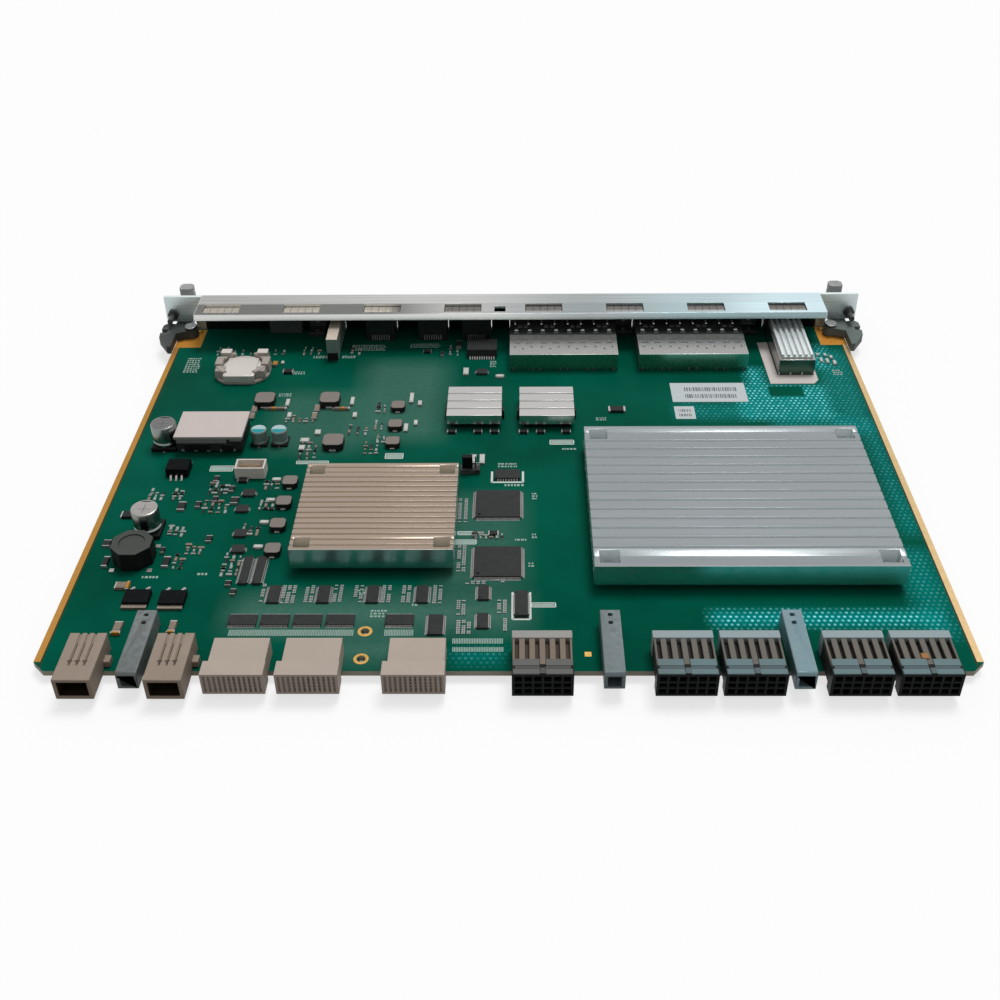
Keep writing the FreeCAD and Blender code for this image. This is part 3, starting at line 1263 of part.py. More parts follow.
def build_coils():
    """Octagonal choke and the shielded inductors."""
    body = prism("choke_prism", "8", "choke_radius", "choke_height",
                 (at_x("choke"), at_y("choke"), "board_top"), HALF_FLAT)
    dish = prism("choke_dish", "hub_sides", "choke_radius - choke_rim", "choke_dish",
                 (at_x("choke"), at_y("choke"), "board_top + choke_height - choke_dish"))
    node("choke", cut("choke_body", body, dish))
    coils = []
    for kind, spots in (("coil", COILS), ("small_coil", SMALL_COILS)):
        master = new_body(f"{kind}_master")
        edge = sketch_on(master, "edge", "XY_Plane")
        half, bevel = f"{kind}_width / 2", f"coil_corner * {kind}_width / coil_width"
        low, inner, high = f"{bevel} - {half}", f"{half} - {bevel}", half
        polygon(edge, [(low, f"-{half}"), (inner, f"-{half}"), (high, low), (high, inner),
                       (inner, high), (low, high), (f"-{half}", inner), (f"-{half}", low)])
        pad(master, edge, f"{kind}_height")
        places = [(at_x(f"{kind}_{index}"), at_y(f"{kind}_{index}"), "board_top")
                  for index in range(1, len(spots) + 1)]
        coils += copies(kind, master, places)
    group("inductors", coils)


def build_transistors():
    """Power transistors: a moulded body with its metal tab."""
    pieces = []
    for name, kind, side in (("tall_transistor", "tall", 1), ("left_flat_transistor", "flat", -1),
                             ("right_flat_transistor", "flat", -1)):
        size = [f"{kind}_transistor_{part}" for part in ("width", "depth", "height")]
        body = standing(f"{name}_body", size, at_x(name), at_y(name), "board_top")
        tab_size = (f"{size[0]} - 1", "transistor_tab + 1", "transistor_tab_height")
        tab_y = f"{at_y(name)} + {side} * ({size[1]} + transistor_tab - 1) / 2"
        tab = standing(f"{name}_tab", tab_size, at_x(name), tab_y, "board_top")
        pieces.append(fuse(name, body, tab))
    group("power_transistors", pieces)


def build_chips():
    """Every flat chip and the network coil block."""
    pieces = []
    for kind, spots in CHIP_PLACES.items():
        size = [f"{kind}_{part}" for part in ("width", "depth", "height")]
        for index in range(1, len(spots) + 1):
            name = f"{kind}_{index}"
            pieces.append(standing(name, size, at_x(name), at_y(name), "board_top"))
    coil_size = ("network_coil_width", "network_coil_depth", "network_coil_height")
    jack_rear = "panel_front + port_clearance - jack_length"
    pieces.append(block("network_coil", coil_size,
                        ("right_jack_place + network_coil_shift - network_coil_width / 2",
                         f"{jack_rear} - network_coil_gap - network_coil_depth", "board_top")))
    group("flat_chips", pieces)


def build_headers():
    """White shrouded header, and a pin strip with a jumper cap."""
    x, y = at_x("header"), at_y("header")
    shell = standing("header_shell", ("header_width", "header_depth", "header_height"), x, y, "board_top")
    hollow = standing("header_hollow", ("header_width - 2 * header_wall", "header_depth - 2 * header_wall",
                                        "header_height - header_floor"), x, y, "board_top + header_floor")
    x, y = at_x("jumper"), at_y("jumper")
    strip = standing("jumper_strip", ("jumper_width", "jumper_depth", "jumper_height"), x, y, "board_top")
    pin_places = [f"{x} + jumper_pin_pitch * ({index} - (jumper_pins - 1) / 2)"
                  for index in range(int(number("jumper_pins")))]
    pin_size = ("jumper_pin", "jumper_pin", "jumper_pin_height + 1")
    pins = [standing(f"jumper_pin_{index}", pin_size, pin_x, y, "board_top + jumper_height - 1")
            for index, pin_x in enumerate(pin_places, 1)]
    group("pin_headers", [cut("header_box", shell, hollow), fuse("jumper_block", strip, *pins)])
    middle = f"{x} - jumper_pin_pitch / 2"
    cap = standing("cap_block", ("jumper_cap_width", "jumper_cap_depth", "jumper_cap_height"), middle, y,
                   "board_top + jumper_height")
    side = "jumper_pin + 2 * hole_clearance"
    hole_size = (side, side, "jumper_pin_height + hole_clearance")
    holes = [standing(f"cap_hole_{index}", hole_size, pin_x, y, "board_top + jumper_height")
             for index, pin_x in enumerate(pin_places[:2], 1)]
    node("jumper_cap", cut("cap_hollow", cap, *holes))


def build_coin_cell():
    """Coin cell in its open moulded holder."""
    x, y = at_x("holder"), at_y("holder")
    body = standing("holder_block", ("holder_width", "holder_depth", "holder_height"), x, y, "board_top")
    room = "2 * (cell_radius + cell_room)"
    well = standing("holder_well", (room, room, "holder_height"), x, y, "cell_bottom")
    gap = standing("holder_way", ("holder_gap", "holder_depth + 2", "holder_height"), x, y, "cell_bottom")
    node("coin_cell_holder", cut("holder_body", body, well, gap))
    node("coin_cell", prism("cell_disc", "cell_sides", "cell_radius", "cell_height", (x, y, "cell_bottom")))


def check_document():
    """Stops if any object failed, any cut removed nothing or any sub-part isn't a sound solid."""
    for obj in doc.Objects:
        if "Invalid" in obj.State or "Error" in obj.State:
            raise RuntimeError(f"{obj.Name} failed: {obj.State}")
        if obj.TypeId == "PartDesign::Pocket" and obj.Shape.Volume >= obj.BaseFeature.Shape.Volume:
            raise RuntimeError(f"{obj.Name} cuts nothing")
    for piece in nodes:
        if piece.Shape.isNull() or not piece.Shape.isValid() or not piece.Shape.Solids:
            raise RuntimeError(f"{piece.Label} is not a sound solid")


def write_parts():
    """Writes each sub-part to a file of its own name."""
    os.makedirs("parts", exist_ok=True)
    for piece in nodes:
        piece.Shape.exportStep(os.path.join("parts", f"{piece.Label}.step"))


for build in (build_board, build_panel, build_springs, build_levers, build_captive_screws, build_brackets,
              build_usb_socket, build_jacks, build_light_pipes, build_cages, build_wide_sink, build_sinks,
              build_power_connectors, build_guides, build_signal_connectors, build_fast_connectors,
              build_converter, build_capacitors, build_coils, build_transistors, build_chips, build_headers,
              build_coin_cell):
    build()
doc.recompute()
check_document()
write_parts()
print(f"{len(nodes)} sub-parts written")
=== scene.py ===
"""Dresses the uplink card: finishes, soldered parts, leads, prints, stage, light and camera.

Places on the card are millimetres on the board: x from its middle, y from its rear edge, z from its top face.
"""
import json
import logging
import math
import random
from dataclasses import dataclass, replace
from enum import Enum
from functools import reduce
from typing import Optional, Sequence, Union

import bmesh
import bpy
from mathutils import Matrix, Vector

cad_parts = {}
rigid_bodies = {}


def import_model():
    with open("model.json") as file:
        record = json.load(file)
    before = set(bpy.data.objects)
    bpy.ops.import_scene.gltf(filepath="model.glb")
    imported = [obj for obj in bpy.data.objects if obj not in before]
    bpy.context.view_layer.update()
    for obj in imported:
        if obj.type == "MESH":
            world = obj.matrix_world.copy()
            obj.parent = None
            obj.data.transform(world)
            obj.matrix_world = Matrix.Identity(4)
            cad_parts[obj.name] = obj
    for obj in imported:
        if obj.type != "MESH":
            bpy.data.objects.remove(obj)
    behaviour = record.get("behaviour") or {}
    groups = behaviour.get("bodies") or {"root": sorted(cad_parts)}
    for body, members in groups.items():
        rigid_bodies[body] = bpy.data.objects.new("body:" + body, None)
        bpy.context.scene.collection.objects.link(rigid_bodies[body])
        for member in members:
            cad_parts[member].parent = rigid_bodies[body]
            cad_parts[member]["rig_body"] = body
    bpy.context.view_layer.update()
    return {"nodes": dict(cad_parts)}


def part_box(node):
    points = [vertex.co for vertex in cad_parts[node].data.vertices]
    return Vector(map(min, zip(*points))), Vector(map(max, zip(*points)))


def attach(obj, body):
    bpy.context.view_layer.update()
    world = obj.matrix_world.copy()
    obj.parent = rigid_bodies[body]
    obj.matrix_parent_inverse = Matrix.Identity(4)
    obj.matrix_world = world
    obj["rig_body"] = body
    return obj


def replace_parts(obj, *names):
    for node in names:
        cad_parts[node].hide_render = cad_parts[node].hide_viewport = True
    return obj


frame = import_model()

LOG = logging.getLogger("uplink_card")
MM = 0.001
SIGNS = (-1, 1)

Socket = bpy.types.NodeSocket
Tree = bpy.types.NodeTree
Mesh = bpy.types.Mesh
Piece = bpy.types.Object
Axes = bpy.types.NodeOutputs
Colour = tuple[float, float, float]
Corner = tuple[float, float, float]
Spot = tuple[float, float]
Span = tuple[float, float]
Spots = tuple[Spot, ...]
Patch = tuple[float, float, float, float]
Patches = tuple[Patch, ...]
Blocks = tuple[tuple, ...]
Named = tuple[tuple[str, float], ...]
Stops = tuple[tuple[float, Colour], ...]
Value = Union[float, Socket]
Shade = Union[Colour, Socket]
Feeds = dict[Union[str, int], object]


class Slot(str, Enum):
    """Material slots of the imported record."""

    LAMINATE = "laminate"
    PANEL = "panel_zinc"
    SPRING = "spring_metal"
    LEVER = "lever_plastic"
    FASTENER = "fastener_steel"
    BRACKET = "bracket_metal"
    SHELL = "shell_metal"
    JACK = "jack_plastic"
    PIPE = "pipe_clear"
    SOCKET = "socket_plastic"
    SINK = "sink_aluminium"
    FILM = "film_plastic"
    CHIP = "chip_black"
    POWER = "power_beige"
    BRASS = "contact_brass"
    GUIDE = "guide_slate"
    SIGNAL = "signal_beige"
    FAST = "fast_black"
    WAFER = "wafer_beige"
    STIFFENER = "stiffener_grey"
    CONVERTER = "converter_dark"
    PLATE = "converter_pale"
    CAN = "can_aluminium"
    BASE = "base_black"
    POLYMER = "polymer_can"
    CHOKE = "choke_grey"
    COIL = "coil_grey"
    HEADER = "header_cream"
    CAP = "cap_black"
    CELL = "cell_steel"


class Side(Enum):
    """Sides of a chip, as the direction its leads point."""

    LEFT = (-1.0, 0.0)
    RIGHT = (1.0, 0.0)
    FAR = (0.0, 1.0)
    NEAR = (0.0, -1.0)


class Graph:
    """Short calls for laying out one node tree."""

    def __init__(self, tree: Tree) -> None:
        """Keeps the tree that the nodes go into."""
        self.tree = tree

    def node(self, kind: str, feeds: Optional[Feeds] = None, **settings: object) -> bpy.types.Node:
        """Adds a node.

        Args:
            kind: node type without its "ShaderNode" prefix.
            feeds: socket or value for each input.
            settings: properties to set on the node.

        Returns:
            The new node.
        """
        made = self.tree.nodes.new(f"ShaderNode{kind}")
        for name, value in settings.items():
            setattr(made, name, value)
        self.feed(made, feeds or {})
        return made

    def feed(self, node: bpy.types.Node, feeds: Feeds) -> None:
        """Links sockets into a node's inputs, or sets plain values on them.

        Args:
            node: node with the inputs.
            feeds: socket, number, vector or colour by the input's name or number.
        """
        for key, value in feeds.items():
            socket = node.inputs[key]
            if isinstance(value, Socket):
                self.tree.links.new(value, socket)
            elif socket.type == "RGBA" and len(value) == 3:
                socket.default_value = (*value, 1)
            else:
                socket.default_value = value

    def math(self, operation: str, first: Value, second: Value = 0, clamp: bool = False) -> Socket:
        """Returns the result of a calculation, held between 0 and 1 if asked."""
        return self.node("Math", {0: first, 1: second}, operation=operation, use_clamp=clamp).outputs[0]

    def times(self, *values: Value) -> Socket:
        """Returns the product of numbers, taken from the left."""
        return reduce(lambda first, second: self.math("MULTIPLY", first, second), values)

    def vector(self, operation: str, first: Socket, second: Socket) -> Socket:
        """Returns the result of a calculation with two vectors."""
        return self.node("VectorMath", {0: first, 1: second}, operation=operation).outputs[0]

    def mix(self, factor: Value, first: Shade, second: Shade) -> Socket:
        """Returns a mix of two colours, with the second one's share as the factor."""
        return self.node("Mix", {0: factor, 6: first, 7: second}, data_type="RGBA").outputs[2]

    def ramp(self, value: Value, low: float, high: float, to_low: float = 0, to_high: float = 1) -> Socket:
        """Returns a number moved from one range onto another, held at both ends."""
        feeds = {"Value": value, "From Min": low, "From Max": high, "To Min": to_low, "To Max": to_high}
        return self.node("MapRange", feeds, clamp=True).outputs["Result"]

    def noise(self, vector: Socket, scale: Value, detail: float = 4) -> Socket:
        """Returns a noise at some place."""
        return self.node("TexNoise", {"Vector": vector, "Scale": scale, "Detail": detail}).outputs[0]

    def place(self) -> Socket:
        """Returns the place on the object, in metres."""
        return self.node("TexCoord").outputs["Object"]

    def axes(self, vector: Socket) -> Axes:
        """Returns X, Y and Z of a vector."""
        return self.node("SeparateXYZ", {0: vector}).outputs

    def spot(self) -> Axes:
        """Returns X, Y and Z of the place on the object."""
        return self.axes(self.place())

    def facing(self) -> Axes:
        """Returns X, Y and Z of the direction that the surface looks in."""
        return self.axes(self.node("NewGeometry").outputs["Normal"])

    def group(self, effect: Tree, **values: object) -> Axes:
        """Returns the outputs of a shared effect; an input's name has _ for a space."""
        feeds = {name.replace("_", " "): value for name, value in values.items()}
        return self.node("Group", feeds, node_tree=effect).outputs


class Effects:
    """Shared shader effects, each a node group built once."""

    GREY = (0.5, 0.5, 0.5, 1)
    FINE_SHARE = 0.6
    BROAD_SHARE = 0.4
    BROAD_SCALE = 0.06
    DOT_EDGE = 0.04

    def __init__(self) -> None:
        """Builds every effect."""
        self.grain = self._grain()
        self.dust = self._dust()
        self.wear = self._wear()
        self.dots = self._dots()
        self.patch = self._patch()

    @staticmethod
    def _open(name: str, **inputs: object) -> tuple[Graph, dict[str, Socket]]:
        """Starts a group.

        Args:
            name: group's name.
            inputs: default of each input: a number, a vector of three or a colour of four.

        Returns:
            The group's graph and its inputs by name.
        """
        tree = bpy.data.node_groups.new(name, "ShaderNodeTree")
        for label, default in inputs.items():
            kind = {1: "Float", 3: "Vector", 4: "Color"}[len(default) if isinstance(default, tuple) else 1]
            socket = tree.interface.new_socket(label, in_out="INPUT", socket_type=f"NodeSocket{kind}")
            socket.default_value = default
        return Graph(tree), {s.name: s for s in tree.nodes.new("NodeGroupInput").outputs}

    @staticmethod
    def _close(graph: Graph, **outputs: Socket) -> Tree:
        """Ends a group.

        Args:
            graph: group's graph.
            outputs: what it puts out: a colour by the name Colour, and numbers.

        Returns:
            The group.
        """
        for label in outputs:
            kind = "Color" if label == "Colour" else "Float"
            graph.tree.interface.new_socket(label, in_out="OUTPUT", socket_type=f"NodeSocket{kind}")
        graph.feed(graph.tree.nodes.new("NodeGroupOutput"), outputs)
        return graph.tree

    def _grain(self) -> Tree:
        """Makes fine and broad unevenness, stretched along a direction where the metal is brushed.

        Returns:
            The group.
        """
        graph, given = self._open("surface_grain", Colour=self.GREY, Scale=900, Depth=0.2, Stretch=(1, 1, 1))
        scaled = graph.vector("MULTIPLY", graph.place(), given["Stretch"])
        fine = graph.noise(scaled, given["Scale"], 3)
        broad = graph.noise(scaled, graph.times(given["Scale"], self.BROAD_SCALE), 2)
        value = graph.math("ADD", graph.times(fine, self.FINE_SHARE), graph.times(broad, self.BROAD_SHARE))
        swing = graph.times(graph.math("SUBTRACT", value, 0.5), graph.times(given["Depth"], 4))
        shaded = graph.node("HueSaturation", {"Color": given["Colour"], "Value": graph.math("ADD", swing, 1)})
        return self._close(graph, Colour=shaded.outputs["Color"], Value=value)

    def _dust(self) -> Tree:
        """Makes a thin uneven film that settles on faces that look up.

        Returns:
            The group.
        """
        graph, given = self._open(
            "settled_dust", Colour=self.GREY, Film=(0.45, 0.43, 0.4, 1), Amount=0.1, Scale=60)
        cloud = graph.ramp(graph.noise(graph.place(), given["Scale"], 5), 0.35, 0.7)
        upward = graph.ramp(graph.facing()["Z"], 0.3, 0.95)
        mask = graph.math("MULTIPLY", graph.times(cloud, upward), given["Amount"], True)
        return self._close(graph, Colour=graph.mix(mask, given["Colour"], given["Film"]), Mask=mask)

    def _wear(self) -> Tree:
        """Makes rubbed edges: paler where the surface is sharply convex, broken up by noise.

        Returns:
            The group.
        """
        graph, given = self._open("edge_wear", Colour=self.GREY, Bare=(0.7, 0.7, 0.7, 1), Amount=0.3)
        convex = graph.ramp(graph.node("NewGeometry").outputs["Pointiness"], 0.52, 0.62)
        broken = graph.ramp(graph.noise(graph.place(), 350), 0.3, 0.65)
        mask = graph.math("MULTIPLY", graph.times(convex, broken), given["Amount"], True)
        return self._close(graph, Colour=graph.mix(mask, given["Colour"], given["Bare"]), Mask=mask)

    def _dots(self) -> Tree:
        """Makes staggered rows of round dots in plan, such as plated through-holes.

        Returns:
            The group.
        """
        graph, given = self._open("dot_rows", Pitch=2.4 * MM, Radius=0.25)
        place = graph.spot()
        row = graph.math("DIVIDE", place["Y"], given["Pitch"])
        shift = graph.times(graph.math("FLOORED_MODULO", graph.math("FLOOR", row), 2), 0.5)
        column = graph.math("ADD", graph.math("DIVIDE", place["X"], given["Pitch"]), shift)
        across, along = (graph.math("SUBTRACT", graph.math("FRACT", line), 0.5) for line in (column, row))
        squared = graph.math("ADD", graph.times(across, across), graph.times(along, along))
        edge = graph.math("SUBTRACT", given["Radius"], graph.math("SQRT", squared))
        return self._close(graph, Mask=graph.ramp(edge, -self.DOT_EDGE, self.DOT_EDGE))

    def _patch(self) -> Tree:
        """Makes a rectangle in plan with soft edges.

        Returns:
            The group.
        """
        graph, given = self._open("plan_patch", Middle=(0, 0, 0), Across=0.01, Along=0.01, Soft=0.001)
        parts = graph.axes(graph.vector("SUBTRACT", graph.place(), given["Middle"]))
        masks = []
        for axis, half in (("X", "Across"), ("Y", "Along")):
            inside = graph.math("SUBTRACT", given[half], graph.math("ABSOLUTE", parts[axis]))
            masks.append(graph.math("ADD", graph.math("DIVIDE", inside, given["Soft"]), 0.5, True))
        return self._close(graph, Mask=graph.times(*masks))


EFFECTS = Effects()


@dataclass(frozen=True)
class Finish:
    """One surface finish, made as a node material."""

    name: str
    colour: Colour
    roughness: float = 0.5
    metallic: float = 0.0
    specular: float = 0.12
    grain: float = 900.0
    depth: float = 0.12
    stretch: Corner = (1, 1, 1)
    spread: float = 0.08
    bump: float = 0.1
    bump_height: float = 0.1
    dust: float = 0.0
    wear: float = 0.0
    bare: Colour = (0.6, 0.6, 0.6)
    tint: Colour = (1, 1, 1)

    def base(self, graph: Graph) -> Shade:
        """Returns the colour before grain, dust and wear: here one plain colour."""
        return self.colour

    def shine(self, graph: Graph) -> Value:
        """Returns the metallic share: here the same all over."""
        return self.metallic

    def material(self) -> bpy.types.Material:
        """Makes the material, or finds it if it is made already.

        Returns:
            The material.
        """
        found = bpy.data.materials.get(self.name)
        if found:
            return found
        made = bpy.data.materials.new(self.name)
        made.use_nodes = True
        graph = Graph(made.node_tree)
        grain = graph.group(EFFECTS.grain, Colour=self.base(graph), Scale=self.grain, Depth=self.depth,
                            Stretch=self.stretch)
        worn = graph.group(EFFECTS.wear, Colour=grain["Colour"], Bare=self.bare, Amount=self.wear)
        dusty = graph.group(EFFECTS.dust, Colour=worn["Colour"], Amount=self.dust)
        low, high = self.roughness - self.spread, self.roughness + self.spread
        bump = graph.node("Bump", {"Strength": self.bump, "Distance": self.bump_height * MM,
                                   "Height": grain["Value"]})
        graph.feed(made.node_tree.nodes["Principled BSDF"], {
            "Base Color": dusty["Colour"], "Roughness": graph.ramp(grain["Value"], 0.3, 0.7, low, high),
            "Metallic": self.shine(graph), "Specular IOR Level": self.specular, "Specular Tint": self.tint,
            "Normal": bump.outputs["Normal"]})
        return made


@dataclass(frozen=True)
class TwoTone(Finish):
    """A finish that changes from one colour to another along an axis of the card."""

    other: Colour = (0.5, 0.5, 0.5)
    axis: str = "X"
    start: float = 0.0
    stop: float = 1.0

    def base(self, graph: Graph) -> Socket:
        """Returns the colour that goes over from one end to the other."""
        share = graph.ramp(graph.spot()[self.axis], self.start * MM, self.stop * MM)
        return graph.mix(share, self.colour, self.other)


@dataclass(frozen=True)
class PaintedLightTone(Finish):
    """A finish that paints light and shade: its high upward faces, its sides and its fin walls each get a
    colour.
    """

    top: Colour = (0.5, 0.5, 0.5)
    level: float = 0.0
    level_soft: float = 0.4
    fins: Optional[Span] = None
    fin_inset: Span = (0.5, 0.7)
    wall: Colour = (0.9, 0.9, 0.9)
    matt: float = 0.9

    def base(self, graph: Graph) -> Socket:
        """Returns the painted side and wall colours, and the painted top colour on high faces that look up.

        Args:
            graph: graph of the material.

        Returns:
            The colour's socket.
        """
        high = graph.ramp(graph.spot()["Z"], (self.level - self.level_soft) * MM, self.level * MM)
        upward = graph.ramp(graph.facing()["Z"], 0.55, 0.85)
        # Painted light: walls between fins are paler on the sinks to fill their slots' shade, and green on
        # the cage shells as a painted reflection of the board.
        side = graph.mix(self._walls(graph), self.colour, self.wall) if self.fins else self.colour
        return graph.mix(graph.times(upward, high), side, self.top)

    def shine(self, graph: Graph) -> Value:
        """Returns the metallic share, made small on the walls between fins as part of their painted light.

        Args:
            graph: graph of the material.

        Returns:
            The share, or its socket.
        """
        if not self.fins or not self.matt:
            return self.metallic
        lost = graph.times(self._walls(graph), self.matt * self.metallic)
        return graph.math("SUBTRACT", self.metallic, lost)

    def _walls(self, graph: Graph) -> Socket:
        """Returns the mask of the walls between the first and the last fin.

        Args:
            graph: graph of the material.

        Returns:
            The mask's socket.
        """
        near, far = self.fins
        start, full = self.fin_inset
        y = graph.spot()["Y"]
        across = graph.ramp(graph.math("ABSOLUTE", graph.facing()["Y"]), 0.5, 0.7)
        inside = graph.times(graph.ramp(y, (near + start) * MM, (near + full) * MM),
                             graph.ramp(y, (far - full) * MM, (far - start) * MM, 1, 0))
        return graph.times(across, inside)


@dataclass(frozen=True)
class PaintedReflectionPanel(Finish):
    """Brushed zinc with painted reflections: paler far strip, darker band by the windows, bright fold."""

    band: Stops = ()
    fold: Stops = ()
    strip: Stops = ()
    inner: Colour = (0.012, 0.018, 0.016)
    inner_y: Span = (129, 130)
    ear_x: Span = (169.5, 170.2)
    band_y: Span = (122.6, 124.2)
    reach: float = 192.0

    def along(self, graph: Graph, stops: Stops) -> Socket:
        """Returns a painted reflection that changes along the panel.

        Args:
            graph: graph of the material.
            stops: place along the panel in millimetres and colour of each stop.

        Returns:
            The colour's socket.
        """
        span = self.reach * MM
        made = graph.node("ValToRGB", {"Fac": graph.ramp(graph.spot()["X"], -span, span)})
        ramp = made.color_ramp
        ramp.interpolation = "EASE"
        for index, (x, colour) in enumerate(stops):
            share = (x + self.reach) / (2 * self.reach)
            if index < 2:
                stop = ramp.elements[index]
                stop.position = share
            else:
                stop = ramp.elements.new(share)
            stop.color = (*colour, 1)
        return made.outputs["Color"]

    def base(self, graph: Graph) -> Socket:
        """Returns the painted reflections of the strip, the band and the fold, and the painted shade under
        the flange.

        Args:
            graph: graph of the material.

        Returns:
            The colour's socket.
        """
        place, normal = graph.spot(), graph.facing()
        band, inner, ear = ([edge * MM for edge in span] for span in (self.band_y, self.inner_y, self.ear_x))
        far = graph.ramp(place["Y"], *band)
        top = graph.mix(far, self.along(graph, self.band), self.along(graph, self.strip))
        lip = graph.mix(graph.ramp(normal["Z"], 0.5, 0.8), self.along(graph, self.fold), top)
        # Painted shade: plate faces that look back over the board under the flange turn near black.
        inward = graph.times(graph.ramp(normal["Y"], -0.8, -0.5, 1, 0), graph.ramp(place["Y"], *inner))
        lip = graph.mix(inward, lip, self.inner)
        return graph.mix(graph.ramp(graph.math("ABSOLUTE", place["X"]), *ear), lip, self.colour)


@dataclass(frozen=True)
class SolderMask(Finish):
    """Green solder mask with gilt edges, corner pads, fields of plated holes with painted glints, and pale
    busy fields.
    """

    pale: Colour = (0, 0.092, 0.057)
    track: Colour = (0.001, 0.105, 0.068)
    haze: Colour = (0.055, 0.15, 0.115)
    via_glint: Colour = (0.3, 0.8, 0.83)
    field: Colour = (0, 0.245, 0.235)
    pad: Colour = (0.66, 0.29, 0.05)
    gilt: Colour = (0.46, 0.225, 0.055)
    gilt_right_painted_light: Colour = (0.6, 0.42, 0.22)
    gilt_line: Colour = (0.05, 0.035, 0.015)
    gilt_metal: float = 0.35
    gilt_start: float = 5.0
    edge: Colour = (0.45, 0.42, 0.34)
    strip: float = 2.7
    half_width: float = 183.35
    rear: float = -140.25
    crisp: float = 0.1
    haze_soft: float = 16.0
    tracks: tuple[tuple[str, float, float], ...] = (("X", 5580, 42), ("Y", 4860, 55))
    via_fields: Patches = ()
    faint_fields: Patches = ()
    pale_fields: tuple[tuple[Patch, float], ...] = ()
    clear_field: Patch = (142, 203.3, 17.6, 9.8)
    pads: Patches = ()

    def area(self, graph: Graph, patch: Patch, soft: float) -> Socket:
        """Returns the mask of a rectangle on the board.

        Args:
            graph: graph of the material.
            patch: middle, width and depth in millimetres.
            soft: width of its soft edge in millimetres.

        Returns:
            The mask's socket.
        """
        x, y, width, depth = patch
        return graph.group(EFFECTS.patch, Middle=(x * MM, (y + self.rear) * MM, 0), Across=width / 2 * MM,
                           Along=depth / 2 * MM, Soft=soft * MM)["Mask"]

    def gilded(self, graph: Graph) -> Socket:
        """Returns the mask of the gilt strips and corner pads.

        Args:
            graph: graph of the material.

        Returns:
            The mask's socket.
        """
        place = graph.spot()
        inner, start = (self.half_width - self.strip) * MM, (self.rear + self.gilt_start) * MM
        mask = graph.times(graph.ramp(graph.math("ABSOLUTE", place["X"]), inner, inner + self.crisp * MM),
                           graph.ramp(place["Y"], start, start + 2 * self.crisp * MM))
        for pad in self.pads:
            mask = graph.math("MAXIMUM", mask, self.area(graph, pad, self.crisp))
        return mask

    def shine(self, graph: Graph) -> Socket:
        """Returns the metallic share: only gilt is metal."""
        return graph.times(self.gilded(graph), self.gilt_metal)

    def base(self, graph: Graph) -> Socket:
        """Returns the board's colour with its tracks, fields, gilt and bare edges.

        Args:
            graph: graph of the material.

        Returns:
            The colour's socket.
        """
        place, normal = graph.spot(), graph.facing()
        cloud = graph.ramp(graph.noise(graph.place(), 14, 3), 0.35, 0.68)
        colour = graph.mix(cloud, self.colour, self.pale)
        for axis, count, scale in self.tracks:
            wave = graph.math("SINE", graph.times(place[axis], count))
            bundle = graph.ramp(graph.noise(graph.place(), scale, 1), 0.56, 0.6)
            colour = graph.mix(graph.times(graph.ramp(wave, 0.2, 0.6), bundle, 0.3), colour, self.track)
        colour = self._gilt(graph, self._fields(graph, colour))
        upright = graph.ramp(graph.math("ABSOLUTE", normal["Z"]), 0.3, 0.7, 1, 0)
        along = graph.ramp(graph.math("ABSOLUTE", normal["Y"]), 0.3, 0.7)
        return graph.mix(graph.times(upright, along), colour, self.edge)

    def _fields(self, graph: Graph, colour: Socket) -> Socket:
        """Lays pale fields and fields of plated holes over a colour, but for one plain patch.

        Args:
            graph: graph of the material.
            colour: colour below.

        Returns:
            The colour's socket.
        """
        busy = graph.times(graph.ramp(graph.noise(graph.place(), 420, 2), 0.35, 0.6, 0.85, 1),
                           graph.ramp(graph.facing()["Z"], 0.3, 0.7))
        for patch, strength in self.pale_fields:
            share = graph.times(self.area(graph, patch, self.haze_soft), strength, busy)
            colour = graph.mix(share, colour, self.haze)
        dots = graph.group(EFFECTS.dots)["Mask"]
        # Painted highlights: the bright cyan of the plated-hole dots, made uneven by this glint noise, stands
        # for glints of light on them.
        glint = graph.ramp(graph.noise(graph.place(), 260, 1), 0.35, 0.6, 0.25, 1)
        kept = graph.math("SUBTRACT", 1, self.area(graph, self.clear_field, 1))
        for fields, strength, soft, shown in (
                (self.via_fields, 0.95, 7, 1), (self.faint_fields, 0.5, 9, 0.4)):
            for patch in fields:
                share = graph.times(self.area(graph, patch, soft), kept, strength)
                colour = graph.mix(graph.times(share, 0.8), colour, self.field)
                colour = graph.mix(graph.times(share, dots, graph.times(glint, shown)), colour, self.via_glint)
        return colour

    def _gilt(self, graph: Graph, colour: Socket) -> Socket:
        """Lays the gilt strips, the line beside them and the corner pads over a colour.

        Args:
            graph: graph of the material.
            colour: colour below.

        Returns:
            The colour's socket.
        """
        x, start = graph.spot()["X"], (self.half_width - self.strip) * MM
        # Painted light: the right gilt strip is a paler copy of the left one.
        gilt = graph.mix(graph.ramp(x, -0.05, 0.05), self.gilt, self.gilt_right_painted_light)
        inner = graph.math("SUBTRACT", graph.math("ABSOLUTE", x), start)
        rim = graph.times(graph.ramp(inner, -0.7 * MM, -0.6 * MM),
                          graph.ramp(inner, 0, self.crisp * MM, 1, 0))
        colour = graph.mix(graph.times(rim, 0.8), colour, self.gilt_line)
        colour = graph.mix(self.gilded(graph), colour, gilt)
        for pad in self.pads:
            colour = graph.mix(self.area(graph, pad, self.crisp), colour, self.pad)
        return colour


